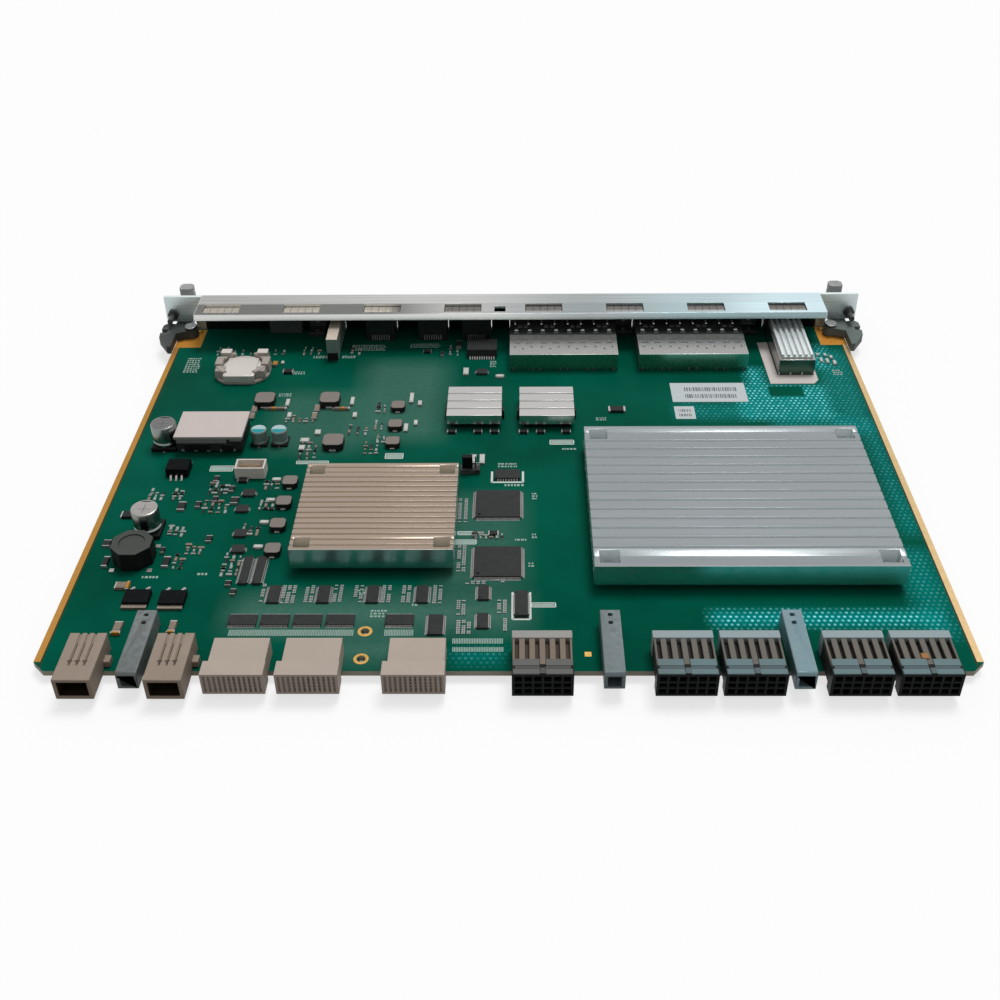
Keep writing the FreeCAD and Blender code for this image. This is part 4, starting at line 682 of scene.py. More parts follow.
@dataclass(frozen=True)
class WaferTone(Finish):
    """Wafer packs: warm on the first connector, greyer on the others, painted shade down in the grooves."""

    grey: Colour = (0.137, 0.126, 0.11)
    deep: Colour = (0.022, 0.02, 0.018)
    warm_groove_shade: Colour = (0.07, 0.055, 0.04)
    change: Span = (45, 50)
    heights: Span = (11.9, 13.6)

    def base(self, graph: Graph) -> Socket:
        """Returns the wafer colour by place, darker lower down as painted shade in the grooves.

        Args:
            graph: graph of the material.

        Returns:
            The colour's socket.
        """
        place = graph.spot()
        right = graph.ramp(place["X"], *(x * MM for x in self.change))
        # Painted shade: faces below the wafer tops turn dark and warm on the first connector and near black
        # on the others.
        return graph.mix(graph.ramp(place["Z"], *(z * MM for z in self.heights)),
                         graph.mix(right, self.warm_groove_shade, self.deep), graph.mix(right, self.colour, self.grey))


class Palette:
    """Every finish on the card."""

    board = SolderMask(
        "solder_mask", (0, 0.06, 0.036), roughness=0.36, specular=0.015, grain=500, depth=0.04, bump=0.02,
        tint=(0, 0.8, 0.55),
        pale_fields=(((-54, 197, 42, 74), 0.75), ((-52, 33, 120, 20), 0.9), ((-55, 12, 38, 14), 0.9),
                     ((-12, 80, 36, 66), 0.6), ((-94, 176, 46, 52), 0.6)),
        via_fields=((139.5, 193, 46, 32), (128, 217, 9, 20), (165, 239, 9, 24),
                    (128, 30, 92, 9)),
        faint_fields=((176.5, 130, 8, 92), (172.3, 46, 14, 56), (-10.9, 8, 21, 7),
                      (104, 185, 40, 14), (150, 170, 40, 20), (171, 205, 18, 80)),
        pads=((-176.3, 261, 14.6, 20), (176.3, 261.5, 14.6, 20.6)))
    print = Finish("board_print", (0.3, 0.4, 0.355), roughness=0.6, depth=0.2, grain=1400)
    bright_print = Finish("bright_print", (0.62, 0.66, 0.63), roughness=0.6)
    label = Finish("paper_label", (0.5, 0.54, 0.55), roughness=0.55, depth=0.04, grain=300)
    label_ink = Finish("label_ink", (0.15, 0.16, 0.165), roughness=0.6, depth=0.3, grain=2500)
    # Painted reflections along the panel: darker at the left, paler and bluer at the right.
    zinc = PaintedReflectionPanel(
        "panel_zinc_painted_reflection", (0.66, 0.74, 0.74), roughness=0.3, metallic=0.7, grain=1100, depth=0.07,
        stretch=(0.012, 1, 1), bump=0.015,
        strip=((-170, (0.38, 0.38, 0.37)), (-25, (0.52, 0.52, 0.51)), (40, (0.34, 0.37, 0.37)),
               (105, (0.42, 0.52, 0.55)), (150, (0.56, 0.7, 0.75))),
        band=((-170, (0.135, 0.135, 0.13)), (-70, (0.15, 0.15, 0.147)), (-28, (0.42, 0.42, 0.41)),
              (42, (0.27, 0.3, 0.31)), (100, (0.36, 0.47, 0.49)), (140, (0.58, 0.73, 0.78))),
        fold=((-170, (0.79, 0.79, 0.77)), (-28, (0.83, 0.85, 0.81)), (42, (0.48, 0.52, 0.52)),
              (105, (0.38, 0.51, 0.54)), (150, (0.32, 0.43, 0.45))))
    # Painted light: the spring fingers at the left are pale as painted highlights, those further right dark
    # as painted shade.
    spring = TwoTone("spring_sheet_painted_light", (0.4, 0.365, 0.315), roughness=0.3, metallic=0.5, depth=0.1,
                     other=(0.135, 0.125, 0.117), start=-66, stop=-60)
    # Painted light: the handle in front of the panel is pale to offset its shade, and the right lever is a
    # paler copy of the left.
    left_lever = TwoTone("left_lever_painted_light_moulding", (0.042, 0.049, 0.046), grain=2200, depth=0.1, bump=0.2,
                         wear=0.4, bare=(0.16, 0.17, 0.17), other=(0.34, 0.345, 0.342), axis="Y", start=135,
                         stop=139)
    right_lever = replace(left_lever, name="right_lever_painted_light_moulding", colour=(0.11, 0.14, 0.13))
    grip = Finish("grip_ribs", (0.26, 0.265, 0.263), roughness=0.55, grain=2200, depth=0.1, bump=0.2)
    steel = Finish("fastener_steel_bright", (0.3, 0.3, 0.295), roughness=0.3, metallic=1, depth=0.1,
                   stretch=(1, 1, 4))
    dark_steel = Finish("thread_steel", (0.07, 0.072, 0.072), roughness=0.4, metallic=0.6, depth=0.1)
    # Painted shade: the brackets under the flange are near black for the shade they sit in.
    bracket_painted_shade = Finish("bracket_sheet_painted_shade", (0.05, 0.052, 0.052), roughness=0.4, metallic=0.7, grain=500)
    # Painted reflection: the rear walls of the cage shells are green from the board they face, darker on the
    # wide cage.
    shell = PaintedLightTone(
        "shell_sheet", (0.34, 0.345, 0.335), roughness=0.28, metallic=1, grain=700, depth=0.02, spread=0.02,
        bump=0, top=(0.34, 0.335, 0.325), level=12, fins=(83.5, 92), wall=(0.13, 0.38, 0.28), matt=0)
    wide_shell = replace(shell, name="wide_shell_sheet", fins=(78, 86), wall=(0.07, 0.13, 0.1))
    # Painted light and shade on the cage lids: near black for the flange's shadow and the vent holes, grey
    # for the springs in that shade, pale for highlights on the tabs.
    shell_dark = Finish("shell_shadow", (0.022, 0.026, 0.023), roughness=0.6, depth=0.3, grain=400)
    shell_springs_shade = Finish("shell_springs_painted_shade", (0.1, 0.105, 0.1), depth=0.3, grain=300)
    shell_tabs_highlight = Finish("shell_tabs_painted_highlight", (0.55, 0.55, 0.53), roughness=0.3, metallic=0.6, depth=0.1)
    jack = Finish("jack_shell", (0.018, 0.022, 0.021), roughness=0.4, metallic=0.3, depth=0.1, grain=600)
    jack_front = Finish("jack_lining", (0.008, 0.009, 0.009))
    # Painted light: the top of the serial-bus socket is paler to offset the flange's shade over it.
    upright = PaintedLightTone("upright_shell_painted_light", (0.22, 0.27, 0.25), roughness=0.35, metallic=0.3, grain=600,
                      depth=0.06, top=(0.56, 0.48, 0.4), level=15)
    pipe = Finish("pipe_clear_moulding", (0.06, 0.07, 0.068), roughness=0.25, depth=0.05, specular=0.5)
    socket = Finish("socket_moulding", (0.02, 0.02, 0.021))
    brushed = dict(roughness=0.24, metallic=1, depth=0.03, stretch=(0.02, 1, 1), spread=0.03, bump=0.006)
    # Painted light and shade on the sinks: tops darker than the sides, slot walls pale and matt to fill the
    # slots' shade, and green sides on the mid sink as a painted reflection of the board.
    main_sink = PaintedLightTone("main_sink_aluminium", (0.66, 0.72, 0.71), top=(0.262, 0.286, 0.296), level=17,
                        fins=(-93.1, 10.8), wall=(0.72, 0.77, 0.78), **brushed)
    mid_sink = PaintedLightTone("mid_sink_aluminium", (0.4, 0.61, 0.6), top=(0.33, 0.265, 0.214), level=17,
                       fins=(-82.1, -19.2), wall=(0.7, 0.6, 0.5), **brushed)
    small_sink = PaintedLightTone("small_sink_aluminium", (0.66, 0.68, 0.66), top=(0.47, 0.46, 0.45), level=12,
                         fins=(28.5, 55.3), wall=(0.78, 0.78, 0.76), **brushed)
    sink_screw = TwoTone("sink_screw_heads", (0.25, 0.205, 0.16), roughness=0.4, metallic=0.7, depth=0.1,
                         other=(0.22, 0.24, 0.25), start=-15, stop=15)
    rib_sink = PaintedLightTone("rib_sink_aluminium", (0.66, 0.7, 0.7), roughness=0.3, metallic=0.4, depth=0.06,
                       stretch=(1, 0.05, 1), bump=0.01, top=(0.72, 0.76, 0.76), level=14.9)
    film = Finish("film_sheet", (0.57, 0.52, 0.49), roughness=0.45, depth=0.05, grain=200)
    chip = Finish("chip_moulding", (0.006, 0.0072, 0.0078), grain=3000, depth=0.1, bump=0.12, specular=0.01,
                  wear=0.1, bare=(0.06, 0.06, 0.06))
    flat_pack = Finish("flat_pack_moulding", (0.027, 0.029, 0.028), roughness=0.45, specular=0.06, grain=3000,
                       depth=0.08, bump=0.12, wear=0.2, bare=(0.09, 0.09, 0.09))
    tin = Finish("tin_leads", (0.4, 0.38, 0.375), roughness=0.34, metallic=0.8, grain=1500)
    gold = Finish("gold_plate", (0.58, 0.34, 0.09), roughness=0.3, metallic=0.7, grain=1200, depth=0.1)
    tab = Finish("tab_bronze", (0.27, 0.225, 0.185), roughness=0.34, metallic=0.7, depth=0.1)
    power = Finish("power_moulding", (0.27, 0.213, 0.168), roughness=0.55, grain=2200, depth=0.08, bump=0.15,
                   wear=0.3, bare=(0.36, 0.3, 0.25), dust=0.06)
    # Painted shade: near-black lines in the power housings' grooves and plates inside their mouths.
    power_groove_shade = Finish("power_groove_shade", (0.05, 0.038, 0.03), roughness=0.7)
    power_mouth_shade = Finish("power_mouth_shade", (0.022, 0.016, 0.01), roughness=0.6, specular=0.05)
    brass = Finish("contact_brass_blades", (0.3, 0.19, 0.07), roughness=0.3, metallic=1)
    # Painted reflection: the guide sockets turn paler and bluer towards the right.
    guide = TwoTone(
        "guide_casting", (0.112, 0.126, 0.123), roughness=0.42, metallic=0.2, grain=1600, depth=0.1,
        bump=0.15, dust=0.05, wear=0.5, bare=(0.24, 0.27, 0.28), other=(0.14, 0.225, 0.255), start=20,
        stop=110)
    guide_dark = Finish("guide_window", (0.003, 0.003, 0.003), roughness=0.7, specular=0.02)
    signal = Finish("signal_moulding", (0.405, 0.338, 0.288), roughness=0.55, grain=2200, depth=0.06,
                    bump=0.12, wear=0.25, bare=(0.5, 0.43, 0.37), dust=0.06)
    # Painted shade: the contact holes of the signal connectors.
    signal_hole_shade = Finish("signal_painted_hole_shade", (0.18, 0.15, 0.125), roughness=0.7)
    fast = Finish("fast_moulding", (0.0045, 0.0055, 0.0052), roughness=0.42, grain=2200, depth=0.1, wear=0.35,
                  specular=0.06, bare=(0.03, 0.034, 0.034), dust=0.01)
    # Painted reflection: the bands and panels of the high-speed connectors turn bluer towards the right.
    fast_band = TwoTone("fast_band", (0.078, 0.078, 0.074), roughness=0.45, depth=0.1, grain=1500,
                        other=(0.085, 0.117, 0.127), start=30, stop=70)
    fast_panel = replace(fast_band, name="fast_panel", colour=(0.115, 0.115, 0.11),
                         other=(0.12, 0.185, 0.197))
    key = Finish("orange_key", (0.3, 0.15, 0.05), roughness=0.45)
    wafer = WaferTone("wafer_moulding", (0.195, 0.156, 0.122), roughness=0.6, grain=1800, depth=0.06)
    # Painted reflection: the stiffener bars turn bluer towards the right.
    stiffener = TwoTone("stiffener_bar", (0.3, 0.29, 0.275), roughness=0.42, depth=0.05, grain=700,
                        other=(0.275, 0.34, 0.36), start=30, stop=70)
    converter = Finish("converter_ferrite", (0.016, 0.02, 0.018), roughness=0.6, grain=1500, depth=0.1,
                       bump=0.2)
    rim = Finish("converter_edge", (0.17, 0.17, 0.165), roughness=0.45, depth=0.05)
    plate = PaintedLightTone("converter_lid", (0.26, 0.26, 0.25), roughness=0.42, grain=300, depth=0.03,
                    top=(0.545, 0.478, 0.455))
    # Painted reflection: both cans are one aluminium, but the near can's top is given a much paler tone than
    # the far can's.
    can = PaintedLightTone("can_metal", (0.2, 0.225, 0.212), roughness=0.22, metallic=1, grain=500, depth=0.05,
                  stretch=(1, 1, 0.2), wear=0.2, top=(0.155, 0.157, 0.155))
    near_can = replace(can, name="near_can_metal", top=(0.34, 0.325, 0.31))
    can_ink = Finish("can_ink", (0.008, 0.008, 0.009))
    base_black = Finish("base_moulding", (0.006, 0.007, 0.0065), specular=0.08)
    polymer = Finish("polymer_sleeve", (0.19, 0.245, 0.235), roughness=0.3, metallic=0.2, depth=0.06)
    polymer_top = Finish("polymer_lid", (0.38, 0.5, 0.5), roughness=0.4, metallic=0.2, depth=0.05)
    polymer_band = Finish("polymer_band", (0.01, 0.27, 0.31), roughness=0.4, depth=0.08)
    choke = PaintedLightTone("choke_ferrite", (0.006, 0.0065, 0.006), grain=1500, bump=0.2, top=(0.052, 0.057, 0.051))
    coil = PaintedLightTone("coil_ferrite", (0.014, 0.014, 0.013), grain=1600, depth=0.1, bump=0.15,
                   top=(0.2, 0.175, 0.157))
    cream = TwoTone("cream_moulding", (0.6, 0.555, 0.505), grain=1800, depth=0.05, bump=0.12, wear=0.2,
                    dust=0.05, bare=(0.62, 0.58, 0.54), other=(0.02, 0.02, 0.02), start=-60, stop=-50)
    holder = PaintedLightTone("holder_moulding", (0.36, 0.325, 0.29), grain=1800, depth=0.05, bump=0.12,
                     top=(0.62, 0.575, 0.53), level=12)
    cap = Finish("jumper_moulding", (0.004, 0.0045, 0.0045), specular=0.08)
    cell = Finish("cell_lid", (0.6, 0.56, 0.53), roughness=0.35, metallic=0.3, grain=600, depth=0.05)
    part_tan = Finish("part_tan", (0.23, 0.18, 0.14), depth=0.25, grain=700)
    part_grey = Finish("part_grey", (0.27, 0.31, 0.29), depth=0.35, grain=500)
    part_dark = Finish("part_dark", (0.013, 0.014, 0.014), depth=0.2)
    part_white = Finish("part_white", (0.52, 0.53, 0.5), depth=0.1)
    part_orange = Finish("part_orange", (0.42, 0.2, 0.03), depth=0.15)


@dataclass(frozen=True)
class BoardGrid:
    """Places on the board's top face, in millimetres."""

    middle: float
    rear: float
    top: float

    @classmethod
    def of(cls, node: str) -> "BoardGrid":
        """Takes the grid from the board's own box."""
        low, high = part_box(node)
        return cls((low.x + high.x) / 2 / MM, low.y / MM, high.z / MM)

    def point(self, x: float, y: float, z: float = 0.0) -> Vector:
        """Returns a place in metres in the card's frame."""
        return Vector(((self.middle + x) * MM, (self.rear + y) * MM, (self.top + z) * MM))

    def extent(self, node: str) -> tuple[Corner, Corner]:
        """Returns the low and the high corner of a solid on the grid."""
        zero = Vector((self.middle, self.rear, self.top))
        return tuple(tuple(corner / MM - zero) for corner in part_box(node))


def turns(count: int, offset: float = 0.0) -> list[float]:
    """Returns angles in even steps round a circle, the first one by a share of a step."""
    return [2 * math.pi * (index + offset) / count for index in range(count)]


def spread(count: int, pitch: float) -> list[float]:
    """Returns places in even steps on both sides of zero."""
    return [pitch * (index - (count - 1) / 2) for index in range(count)]


def ring(x: float, y: float, radius: float, angles: Sequence[float]) -> list[Spot]:
    """Returns the places at some angles on a circle."""
    return [(x + radius * math.cos(angle), y + radius * math.sin(angle)) for angle in angles]


def mirrored(*rows: tuple) -> Blocks:
    """Returns rows of blocks to the left and to the right."""
    return tuple(((sign * x, *place), *rest) for sign in SIGNS for (x, *place), *rest in rows)


class MeshPen:
    """Draws many small solids into one mesh."""

    def __init__(self, grid: BoardGrid) -> None:
        """Starts an empty mesh on the grid."""
        self.grid = grid
        self.mesh = bmesh.new()

    def skin(self, *rings: Sequence[Corner]) -> None:
        """Adds a closed solid through outlines of as many corners each.

        Args:
            rings: corners of each outline in the same order, counter-clockwise seen from outside the last.
        """
        made = [[self.mesh.verts.new(self.grid.point(*corner)) for corner in outline] for outline in rings]
        self.mesh.faces.new(made[0][::-1])
        self.mesh.faces.new(made[-1])
        for low, high in zip(made, made[1:]):
            for index in range(len(low)):
                after = (index + 1) % len(low)
                self.mesh.faces.new((low[index], low[after], high[after], high[index]))

    def box(self, x: float, y: float, z: float, width: float, depth: float, height: float, taper: float = 0.0,
            turn: float = 0.0) -> None:
        """Adds a block on its base.

        Args:
            x: middle.
            y: middle.
            z: base.
            width: along x.
            depth: along y.
            height: along z.
            taper: how much each side draws in at the top.
            turn: degrees about the upright through the middle.
        """
        cosine, sine = math.cos(math.radians(turn)), math.sin(math.radians(turn))

        def corners(inset: float, level: float) -> list[Corner]:
            """Returns the four corners at one level."""
            half, deep = width / 2 - inset, depth / 2 - inset
            return [(x + a * half * cosine - b * deep * sine, y + a * half * sine + b * deep * cosine, level)
                    for a, b in ((-1, -1), (1, -1), (1, 1), (-1, 1))]

        self.skin(corners(0, z), corners(taper, z + height))

    def blocks(self, x: float, y: float, z: float, rows: Blocks) -> None:
        """Adds blocks, each with its place from a common origin, its size and its taper if it has one."""
        for (dx, dy, dz), size, *taper in rows:
            self.box(x + dx, y + dy, z + dz, *size, *taper)

    def prism(self, outline: Sequence[Spot], low: float, high: float) -> None:
        """Adds an upright solid with an outline drawn counter-clockwise in plan."""
        self.skin(*([(x, y, level) for x, y in outline] for level in (low, high)))

    def rod(self, x: float, y: float, z: float, radius: float, height: float, sides: int = 24,
            top: Optional[float] = None) -> None:
        """Adds an upright round solid, with another radius at the top if it is given."""
        self.lathe(x, y, ((radius, z), (radius if top is None else top, z + height)), sides, 0.5)

    def lathe(self, x: float, y: float, outline: Sequence[Spot], sides: int = 48, offset: float = 0) -> None:
        """Adds a turned solid from the radius and height of its steps, turned by a share of a flat."""
        angles = turns(sides, offset)
        self.skin(*([(*spot, level) for spot in ring(x, y, radius, angles)] for radius, level in outline))

    def sweep(self, profile: Sequence[Spot], root: Spot, side: Side, width: float) -> None:
        """Adds a flat profile given some width, such as a bent lead.

        Args:
            profile: reach and height of each corner, counter-clockwise.
            root: place where the reach is zero.
            side: direction of the reach.
            width: across the profile.
        """
        dx, dy = side.value
        x, y = root
        self.skin(*([(x + dx * s - dy * half, y + dy * s + dx * half, z) for s, z in profile]
                    for half in (-width / 2, width / 2)))

    def frame(self, patch: Patch, line: float, height: float, sides: Sequence[Side] = tuple(Side)) -> None:
        """Adds a flat rectangular outline on the board.

        Args:
            patch: middle, width and depth.
            line: width of the line.
            height: thickness.
            sides: which sides are drawn.
        """
        x, y, width, depth = patch
        for side in sides:
            dx, dy = side.value
            size = (line, depth, height) if dx else (width, line, height)
            self.box(x + dx * width / 2, y + dy * depth / 2, 0, *size)


@dataclass
class Assembly:
    """A sub-assembly of the card, which makes its pieces, lets them ride on bodies and reports each one."""

    ROUND_ABOVE = math.radians(35)
    SHARP_ABOVE = math.radians(32)
    FLAT_BELOW = math.radians(0.5)
    SAME_PLACE = 1e-6
    grid = BoardGrid.of("circuit_board")
    count = 0

    def build(self) -> None:
        """Builds and dresses the sub-assembly."""
        raise NotImplementedError

    def pen(self) -> MeshPen:
        """Returns a fresh pen on the board's grid."""
        return MeshPen(self.grid)

    def pens(self, count: int) -> list[MeshPen]:
        """Returns several fresh pens."""
        return [self.pen() for _ in range(count)]

    def piece(self, name: str, source: Union[MeshPen, Mesh], finish: Finish, slot: Slot, bevel: float = 0.0,
              body: str = "card", segments: int = 2) -> Piece:
        """Adds a piece to the scene, smooth but for its sharp edges.

        Args:
            name: piece's name.
            source: pen that drew it, or its mesh.
            finish: its surface.
            slot: record slot it belongs to; not used.
            bevel: width of its rounded edges in millimetres.
            body: body that it rides on.
            segments: steps across each rounded edge.

        Returns:
            The new object.
        """
        mesh = source
        if isinstance(source, MeshPen):
            mesh = bpy.data.meshes.new(name)
            bmesh.ops.recalc_face_normals(source.mesh, faces=source.mesh.faces)
            source.mesh.to_mesh(mesh)
            source.mesh.free()
        mesh.shade_smooth()
        mesh.set_sharp_from_angle(angle=self.SHARP_ABOVE)
        made = bpy.data.objects.new(name, mesh)
        bpy.context.scene.collection.objects.link(made)
        mesh.materials.clear()
        mesh.materials.append(finish.material())
        if bevel:
            edges = made.modifiers.new("rounded_edges", "BEVEL")
            edges.width = bevel * MM
            edges.segments = segments
            edges.limit_method = "ANGLE"
            edges.angle_limit = self.ROUND_ABOVE
            edges.harden_normals = False
        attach(made, body)
        Assembly.count += 1
        LOG.info("piece %s: %d faces on %s", name, len(mesh.polygons), body)
        return made

    def dress(self, node: str, finish: Finish, slot: Slot, bevel: float, segments: int = 2) -> Piece:
        """Stands a copy with rounded edges in for a solid of the card.

        Args:
            node: solid's name.
            finish: its surface.
            slot: record slot; not used.
            bevel: width of the rounded edges in millimetres.
            segments: steps across each rounded edge.

        Returns:
            The new object.
        """
        solid = frame["nodes"][node]
        mesh = solid.data.copy()
        work = bmesh.new()
        work.from_mesh(mesh)
        bmesh.ops.remove_doubles(work, verts=work.verts, dist=self.SAME_PLACE)
        bmesh.ops.dissolve_limit(work, angle_limit=self.FLAT_BELOW, verts=work.verts, edges=work.edges)
        work.to_mesh(mesh)
        work.free()
        made = self.piece(f"{node}.dressed", mesh, finish, slot, bevel, solid["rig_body"], segments)
        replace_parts(made, node)
        return made

    def paint(self, node: str, finish: Finish) -> None:
        """Gives a solid of the card its finish and leaves its shape.

        Args:
            node: solid's name.
            finish: its surface.
        """
        mesh = frame["nodes"][node].data
        mesh.materials.clear()
        mesh.materials.append(finish.material())
        LOG.info("finish %s on %s", finish.name, node)


@dataclass
class Board(Assembly):
    """The laminate with its prints, labels, plated holes and bare pads."""

    print_height: float = 0.06
    bar_line: float = 0.45
    bars: Patches = (
        (15.2, 38.2, 9.6, 2.5), (-18.5, 79.5, 10, 2.8), (-18, 85.7, 7.2, 2.2), (25.9, 157, 11.4, 3.6),
        (-135.1, 135.5, 10.5, 4.2), (-92.8, 140.4, 15, 2.2), (-54.4, 145.6, 8.3, 4.2))
    open_frames: tuple[tuple[Patch, float], ...] = (
        ((-0.2, 128.2, 14.4, 8.6), 1), ((6.1, 37.8, 7.2, 16.6), 0.9))
    dashes: Patches = (
        (0, 137.7, 9.4, 4.2), (2.6, 121.6, 8.3, 2.8), (29.2, 151.2, 6.7, 2.2), (5.8, 81, 4.8, 2.2),
        (12.4, 113, 2.7, 5.6), (12.1, 83.7, 2.6, 4), (10.1, 64, 1.9, 3.4), (-115.1, 201.3, 6.2, 3.6),
        (-111, 223.4, 6.4, 3.6), (-8.6, 232, 3.2, 7), (46.2, 177.7, 5.5, 3.4), (-37.7, 38.3, 1.6, 2.4),
        (-169.2, 231.8, 7.4, 16), (-17, 139, 7, 3), (-60, 46.5, 5, 3), (-52, 33, 6, 5),
        (24, 12, 4, 1.6), (172, 222, 5, 6), (-150, 56, 7, 2.4), (-128, 58, 5, 2.4),
        (-76, 250, 16, 7), (-46, 252, 16, 5), (-101, 240, 9, 3), (-86, 240, 8, 3))
    dash_row: float = 1.9
    dash_steps: tuple[Spot, Spot] = ((0.5, 1.3), (0.3, 0.7))
    pad_rows: Patches = (
        (-85.5, 21.6, 50.2, 3.6), (-42.3, 21.6, 12.3, 3.6), (-10.9, 16.8, 20.7, 3), (-10.8, 12, 20.5, 2.6))
    pad_pitch: float = 0.65
    pad_width: float = 0.38
    paper: float = 0.12
    labels: tuple[tuple[Patch, Spot], ...] = (
        ((102.2, 202.4, 38.2, 18.4), (0.32, 0.36)), ((88.1, 183.2, 10, 11.6), (0.3, 0.3)))
    label_rows: Spot = (0.16, -0.2)
    label_steps: tuple[Spot, Spot] = ((0.25, 0.9), (0.25, 0.6))
    holes: Spots = ((-56.1, 22.4), (-56.1, 6.7))
    plating: float = 0.08
    bare_pad: Spot = (31.9, 9.3)
    bare_size: float = 2.6
    fixings: Spots = ((-172.5, 268), (-174.5, 264.5), (172, 268), (174.5, 264.5))
    fixing_head: Spots = ((1.3, 0), (1.3, 0.7), (0.9, 1.1))

    def build(self) -> None:
        """Paints the laminate and adds everything printed, stuck or plated on it."""
        self.paint("circuit_board", Palette.board)
        self._prints()
        self._labels()
        self._plating()

    @staticmethod
    def _broken(pen: MeshPen, rng: random.Random, ends: Spot, steps: tuple[Spot, Spot], block: Patch) -> None:
        """Adds one broken row of dashes.

        Args:
            pen: pen that draws.
            rng: source of the lengths and gaps.
            ends: start and stop of the row along x.
            steps: range of the lengths and range of the gaps.
            block: middle along y, base, depth and height of each dash.
        """
        lengths, gaps = steps
        y, z, depth, height = block
        place, stop = ends
        while place < stop:
            step = rng.uniform(*lengths)
            pen.box(place + step / 2, y, z, step, depth, height)
            place += step + rng.uniform(*gaps)

    def _prints(self) -> None:
        """Adds outlined bars, broken dashes and pale pad rows; none of them reads as words."""
        rng = random.Random(11)
        bright, faint = self.pens(2)
        for x, y, width, depth in self.bars:
            bright.frame((x, y, width, depth), self.bar_line, self.print_height)
            faint.box(x, y, 0, width - 2 * self.bar_line, depth - 1, self.print_height / 2)
        for patch, line in self.open_frames:
            bright.frame(patch, line, self.print_height, (Side.LEFT, Side.RIGHT, Side.NEAR))
        for x, y, width, depth in self.dashes:
            rows = max(1, round(depth / self.dash_row))
            for row in range(rows):
                level = y - depth / 2 + (row + 0.5) * depth / rows
                self._broken(faint, rng, (x - width / 2, x + width / 2 - 0.4), self.dash_steps,
                             (level, 0, depth / rows * 0.55, self.print_height))
        for x, y, width, depth in self.pad_rows:
            for index in range(int(width / self.pad_pitch)):
                place = x - width / 2 + (index + 0.5) * self.pad_pitch
                faint.box(place, y, 0, self.pad_width, depth, self.print_height)
        self.piece("silk_bars", bright, Palette.bright_print, Slot.LAMINATE)
        self.piece("silk_dashes", faint, Palette.print, Slot.LAMINATE)

    def _labels(self) -> None:
        """Adds two blank paper labels with plain grey rows."""
        rng = random.Random(5)
        paper, ink = self.pens(2)
        for (x, y, width, depth), (left, right) in self.labels:
            paper.box(x, y, 0, width, depth, self.paper)
            for share in self.label_rows:
                self._broken(ink, rng, (x - width * left, x + width * right), self.label_steps,
                             (y + depth * share, self.paper, depth * 0.2, 0.02))
        self.piece("paper_labels", paper, Palette.label, Slot.FILM, bevel=0.03, segments=1)
        self.piece("label_rows", ink, Palette.label_ink, Slot.CAP)

    def _plating(self) -> None:
        """Adds gold rings round the plated holes, a bare pad and the corner pads' fixings."""
        gold, heads = self.pens(2)
        around = turns(16)
        for x, y in self.holes:
            for angle, spot in zip(around, ring(x, y, 2.35, around)):
                gold.box(*spot, 0, 1.2, 0.95, self.plating, turn=math.degrees(angle))
            for spot in ring(x, y, 2.4, turns(8, 0.5)):
                gold.rod(*spot, self.plating, 0.28, 0.05, 10)
        gold.box(*self.bare_pad, 0, self.bare_size, self.bare_size, self.plating)
        for x, y in self.fixings:
            heads.lathe(x, y, self.fixing_head, 20)
        self.piece("gold_rings", gold, Palette.gold, Slot.BRASS)
        self.piece("corner_fixings", heads, Palette.gold, Slot.BRASS)


@dataclass
class FrontPanel(Assembly):
    """The zinc face plate with its flange, contact springs, brackets and screws."""

    windows: int = 8
    pitch: float = 43.7
    middle: float = -3.2
    window_y: float = 258.6
    sheet: float = 0.3
    sheet_z: float = 18.4
    fingers: int = 5
    finger_pitch: float = 3.9
    finger_width: float = 3.7
    reach: float = 4.6
    arch: float = 0.95
    arch_steps: int = 8
    rail_depth: float = 3.0
    crown_rise: float = 1.15
    fold_y: float = 252.1
    fold_drop: float = 3.2
    fold_flare: float = 1.5
    fold_length: float = 340.0

    def build(self) -> None:
        """Dresses the panel's solids and adds arched spring fingers and the flared fold."""
        self.dress("front_panel", Palette.zinc, Slot.PANEL, 0.25)
        self.dress("panel_brackets", Palette.bracket_painted_shade, Slot.BRACKET, 0.2)
        self.dress("panel_screws", Palette.steel, Slot.FASTENER, 0.15)
        fold = self.pen()
        crown = self.sheet_z + self.crown_rise
        foot = crown - self.fold_drop
        fold.sweep(((0, crown), (0, foot), (self.fold_flare, foot), (self.fold_flare, foot + self.sheet),
                    (self.sheet, crown)), (0, self.fold_y), Side.NEAR, self.fold_length)
        self.piece("flange_fold", fold, Palette.zinc, Slot.PANEL, bevel=0.15)
        self._springs()

    def _springs(self) -> None:
        """Adds a strip of arched fingers under each window."""
        pen = self.pen()
        base = self.sheet_z - self.sheet
        steps = self.arch_steps
        reaches = [-self.reach + 2 * self.reach * step / steps for step in range(steps + 1)]
        upper = [(s, base + self.arch * math.cos(s / self.reach * math.pi / 2)) for s in reaches]
        lower = [(s, rise - self.sheet) for s, rise in upper]
        width = self.finger_pitch * (self.fingers - 1) + self.finger_width
        for window in spread(self.windows, self.pitch):
            x = self.middle + window
            for finger in spread(self.fingers, self.finger_pitch):
                pen.sweep(lower + upper[::-1], (x + finger, self.window_y), Side.FAR, self.finger_width)
            rail = self.window_y + self.reach + self.rail_depth / 2
            pen.box(x, rail, base, width, self.rail_depth, self.sheet)
        piece = self.piece("spring_fingers", pen, Palette.spring, Slot.SPRING)
        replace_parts(piece, "contact_springs")


